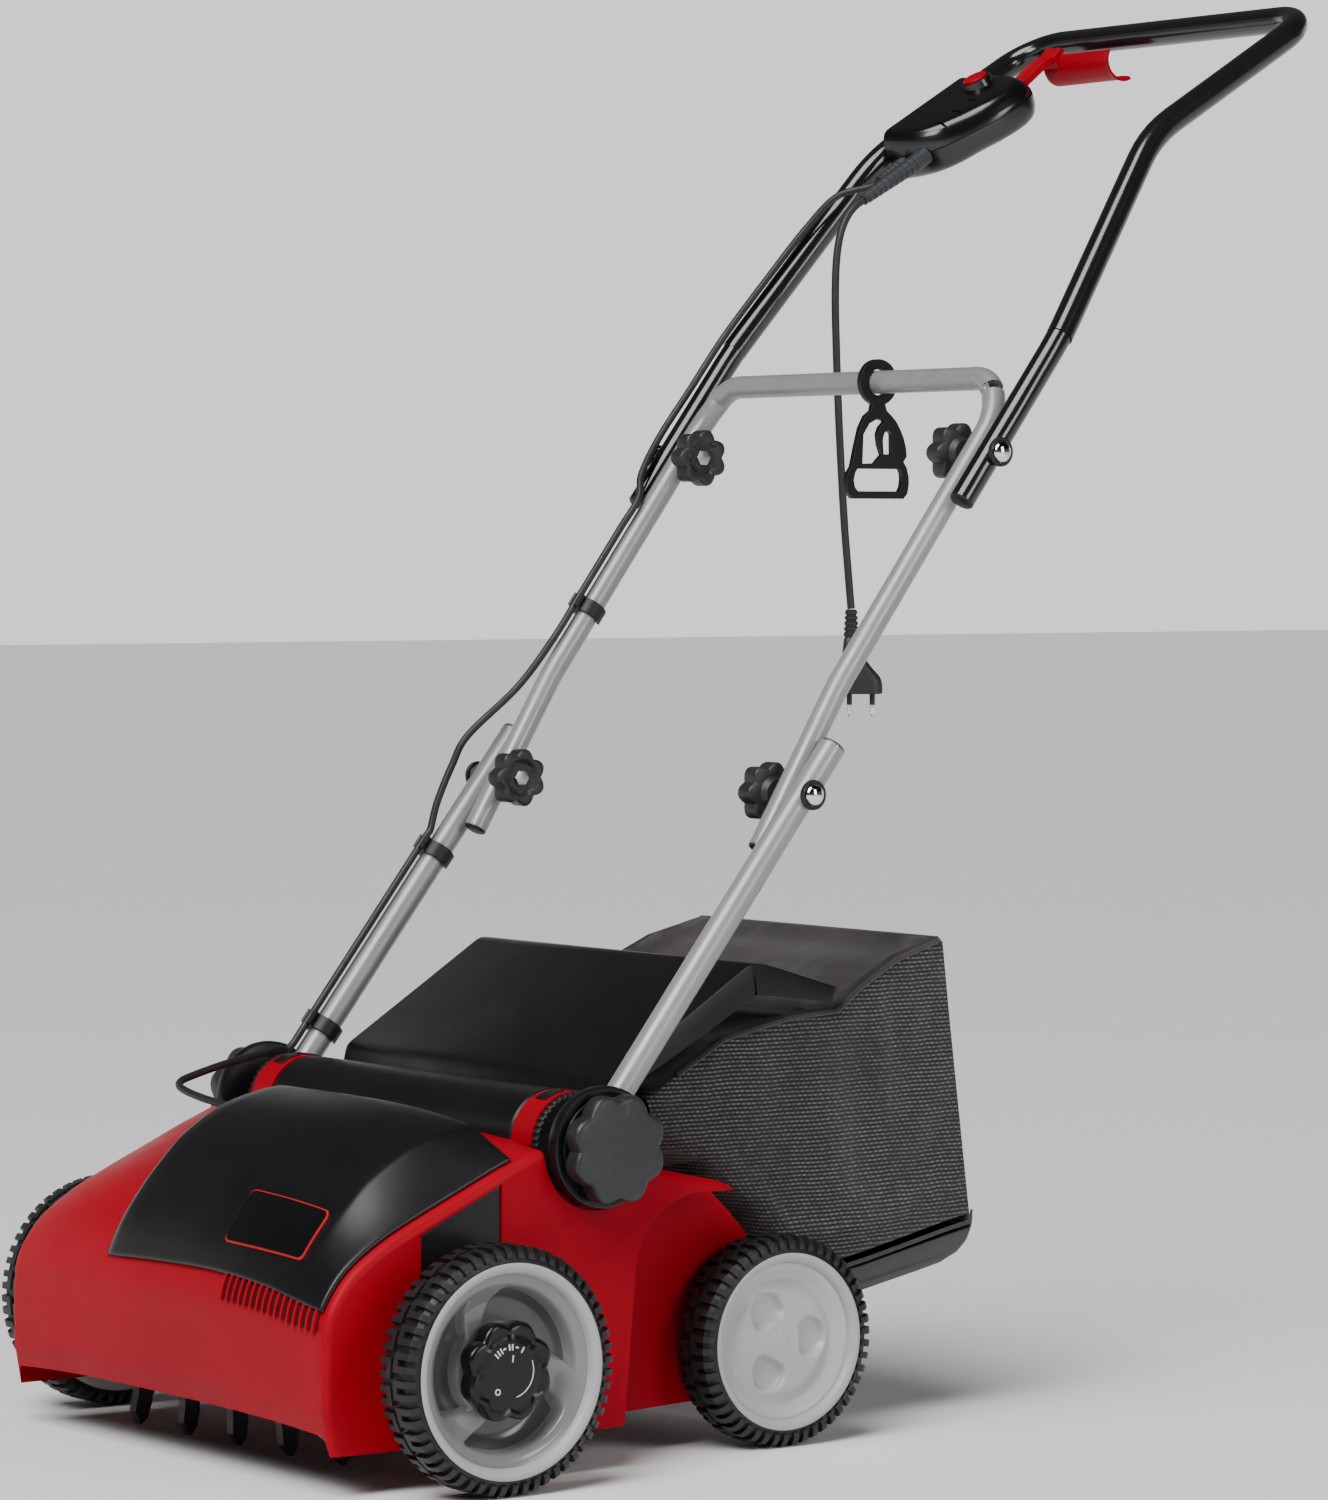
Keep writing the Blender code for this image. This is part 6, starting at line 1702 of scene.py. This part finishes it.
def bag_material():
    """One cloth: ribbed mesh on the sides, close furry cloth on what faces up."""
    s = Shader("bag_cloth", (0.014, 0.012, 0.013), 0.9, specular=0.2)
    split = s.texture("ShaderNodeSeparateXYZ")
    wobble = s.math("MULTIPLY", s.noise(26, 3), 0.0022)
    height = s.math("ADD", split["Z"], wobble)
    rows = s.math("SINE", s.math("MULTIPLY", height, 2 * math.pi / WEAVE_PITCH))
    level = s.math("FLOOR", s.math("DIVIDE", height, WEAVE_PITCH))
    length = s.math("ADD", split["Y"], split["X"])
    phase = s.math("ADD", s.math("MULTIPLY", length, 2 * math.pi / DASH_PITCH),
                   s.math("MULTIPLY", level, 2.6))
    dash = s.stretch(s.math("SINE", phase), -0.6, 0.5, 0.35, 1.0)
    cord = s.stretch(rows, -0.1, 0.75)
    knot = s.math("MULTIPLY", cord, dash)
    facing = s.nodes.new("ShaderNodeTexCoord").outputs["Normal"]
    top = s.stretch(s.texture("ShaderNodeSeparateXYZ", facing)["Z"], 0.55, 0.75)
    side = s.math("SUBTRACT", 1.0, top)
    broken = s.stretch(s.noise(150, 3, 0.7), 0.38, 0.60, 0.45, 1.0)
    s.tint(s.math("MULTIPLY", s.math("MULTIPLY", knot, broken), side), (0.21, 0.20, 0.198), 0.85)
    s.tint(s.math("MULTIPLY", s.stretch(s.noise(9, 4), 0.4, 0.75), side),
           (0.012, 0.011, 0.012), 0.45)
    s.tint(s.math("MULTIPLY", s.stretch(s.noise(38, 6, 0.7), 0.38, 0.70), top),
           (0.062, 0.046, 0.042), 0.65)
    s.tint(s.math("MULTIPLY", s.stretch(s.noise(12, 4), 0.45, 0.72), top),
           (0.010, 0.007, 0.007), 0.6)
    weave = s.math("MULTIPLY", s.math("ADD", cord, s.math("MULTIPLY", knot, 0.6)), side)
    s.bump(weave, 0.5, 0.0005)
    s.bump(s.math("MULTIPLY", s.noise(700, 4, 0.7), top), 0.6, 0.0004)
    s.bump(s.noise(30, 3), 0.35, 0.0016)
    s.bsdf.inputs["Sheen Weight"].default_value = 0.25
    s.bsdf.inputs["Sheen Roughness"].default_value = 0.5
    return s.mat


def seam(route, radius=0.0019):
    return rod([Vector(p) for p in route], radius, 10)


def build_piping():
    """Bound seams along the shell's upper, rear and lower edges."""
    parts = []
    last = float(len(BAG_STEPS))
    stations = [0.4 + 0.2 * i for i in range(34)] + [last]
    for side in (1, -1):
        upper, lower = [], []
        for t in stations:
            top, bottom = bag_frame(t)
            down = (bottom - top).normalized()
            a = top + down * 0.0018
            upper.append((side * (bag_half(a.x) - 0.0018), a.x, a.y))
            if t >= BAG_FLOOR:
                b = bottom - down * 0.0030
                lower.append((side * (bag_half(b.x) + 0.0006), b.x, b.y))
        top, bottom = bag_frame(last)
        rear = [(side * (bag_half(p.x) - 0.0012), p.x + 0.0004, p.y)
                for p in (top.lerp(bottom, s) for s in spread(0.012, 0.985, 14))]
        parts += [seam(upper), seam(lower, 0.0016), seam(rear)]
    half = bag_half(top.x) - 0.004
    parts.append(seam([(x, top.x, top.y - 0.0006) for x in spread(-half, half, 10)]))
    return add("bag_piping", merged(parts), PIPING, "bag")


def build_tray():
    top = [(0.3270, 0.1130), (0.4040, 0.1235), (0.4500, 0.1313), (0.5225, 0.1442)]
    outline = top + [(0.5230, 0.1515), (0.5246, 0.1522), (0.5256, 0.1512), (0.5250, 0.1420),
                     (0.5205, 0.1320), (0.5120, 0.1245), (0.4960, 0.1180), (0.4700, 0.1135),
                     (0.4100, 0.1040), (0.3450, 0.0945), (0.3345, 0.0950), (0.3290, 0.1010)]
    sections = []
    for share, lift in ((-1.0, 0.0065), (-0.995, 0.0035), (-0.985, 0.0014), (-0.97, 0.0),
                        (0.97, 0.0), (0.985, 0.0014), (0.995, 0.0035), (1.0, 0.0065)):
        ring = []
        for y, z in outline:
            rise = 0.0 if (y, z) in top else lift
            ring.append((share * bag_half(y), y, z + rise))
        sections.append(ring)
    hollow = [(0.3310, 0.1600), (0.5175, 0.1800), (0.5140, 0.1390), (0.5010, 0.1245),
              (0.4100, 0.1075), (0.3360, 0.0970)]
    well = loft([[(share * (bag_half(y) - 0.0035), y, z) for y, z in hollow]
                 for share in (-1.0, 1.0)])
    add("tray_moulding", carve("tray", loft(sections), [well]), TRAY, "bag",
        ("bag_tray",), bevel=0.0009, angle=45)


BAG_CLOTH = bag_material()
cloth_shell = build_bag()
piping = build_piping()
build_tray()


# ---- CAD nodes shown as they are ----------------------------------------------------------
for node, mat in (("motor", PAINTED_CAN), ("motor_pulley", STEEL), ("roller_pulley", ALLOY),
                  ("drive_belt", RUBBER), ("roller_bearing_left", ALLOY),
                  ("roller_bearing_right", ALLOY), ("tine_roller", DARK_STEEL),
                  ("rear_axle", STEEL), ("depth_carrier_left", BLACK_MATT),
                  ("depth_carrier_right", BLACK_MATT)):
    paint_node(node, mat)


# ---- setting ------------------------------------------------------------------------------
def area_light(name, at, target, size, power):
    data = bpy.data.lights.new(name, "AREA")
    data.shape = "RECTANGLE"
    data.size, data.size_y = size
    data.energy = power
    light = link(bpy.data.objects.new(name, data))
    light.location = at
    light.rotation_euler = (Vector(target) - Vector(at)).to_track_quat("-Z", "Y").to_euler()


BEHIND = (-0.848, 0.530, 0.0)   # from the camera through the machine
BACK_GLOW = 1.15
FRONT_GLOW = 0.09
SKY_FADE = (0.14, 0.34, 1.0, 0.06)     # from this height to that, glow from full to little
FLOOR_REACH = 30.0


def build_setting():
    mat = bpy.data.materials.new("floor")
    mat.use_nodes = True
    look = mat.node_tree.nodes["Principled BSDF"].inputs
    look["Base Color"].default_value = (0.86, 0.86, 0.86, 1)
    look["Roughness"].default_value = 0.9
    mesh = bpy.data.meshes.new("floor")
    mesh.from_pydata([(a * FLOOR_REACH, b * FLOOR_REACH, 0)
                      for a, b in ((-1, -1), (1, -1), (1, 1), (-1, 1))], [], [(0, 1, 2, 3)])
    mesh.materials.append(mat)
    floor = link(bpy.data.objects.new("floor", mesh))
    floor.location.z = -0.0005
    world = bpy.data.worlds.new("studio")
    bpy.context.scene.world = world
    world.use_nodes = True
    nodes, links = world.node_tree.nodes, world.node_tree.links
    nodes["Background"].inputs["Color"].default_value = (1.0, 1.0, 1.0, 1)
    where = nodes.new("ShaderNodeTexCoord").outputs["Generated"]
    facing = nodes.new("ShaderNodeVectorMath")
    facing.operation = "DOT_PRODUCT"
    links.new(where, facing.inputs[0])
    facing.inputs[1].default_value = BEHIND
    ramp = map_range(world.node_tree, facing.outputs["Value"],
                     (0.15, 0.75, FRONT_GLOW, BACK_GLOW), "SMOOTHSTEP")
    split = nodes.new("ShaderNodeSeparateXYZ")
    links.new(where, split.inputs["Vector"])
    height = map_range(world.node_tree, split.outputs["Z"], SKY_FADE, "SMOOTHSTEP")
    glow = nodes.new("ShaderNodeMath")
    glow.operation = "MULTIPLY"
    links.new(ramp, glow.inputs[0])
    links.new(height, glow.inputs[1])
    links.new(glow.outputs["Value"], nodes["Background"].inputs["Strength"])
    target = (0.0, 0.0, 0.45)
    area_light("key", (1.6, -3.2, 3.0), target, (1.6, 1.6), 90)
    area_light("side", (3.6, 0.9, 1.8), target, (1.0, 2.4), 50)
    data = bpy.data.lights.new("soft_sun", "SUN")
    data.energy = 3.0
    data.angle = math.radians(38)
    sun = link(bpy.data.objects.new("soft_sun", data))
    sun.rotation_euler = Vector((0.25, -0.55, 1.0)).to_track_quat("Z", "Y").to_euler()


build_setting()
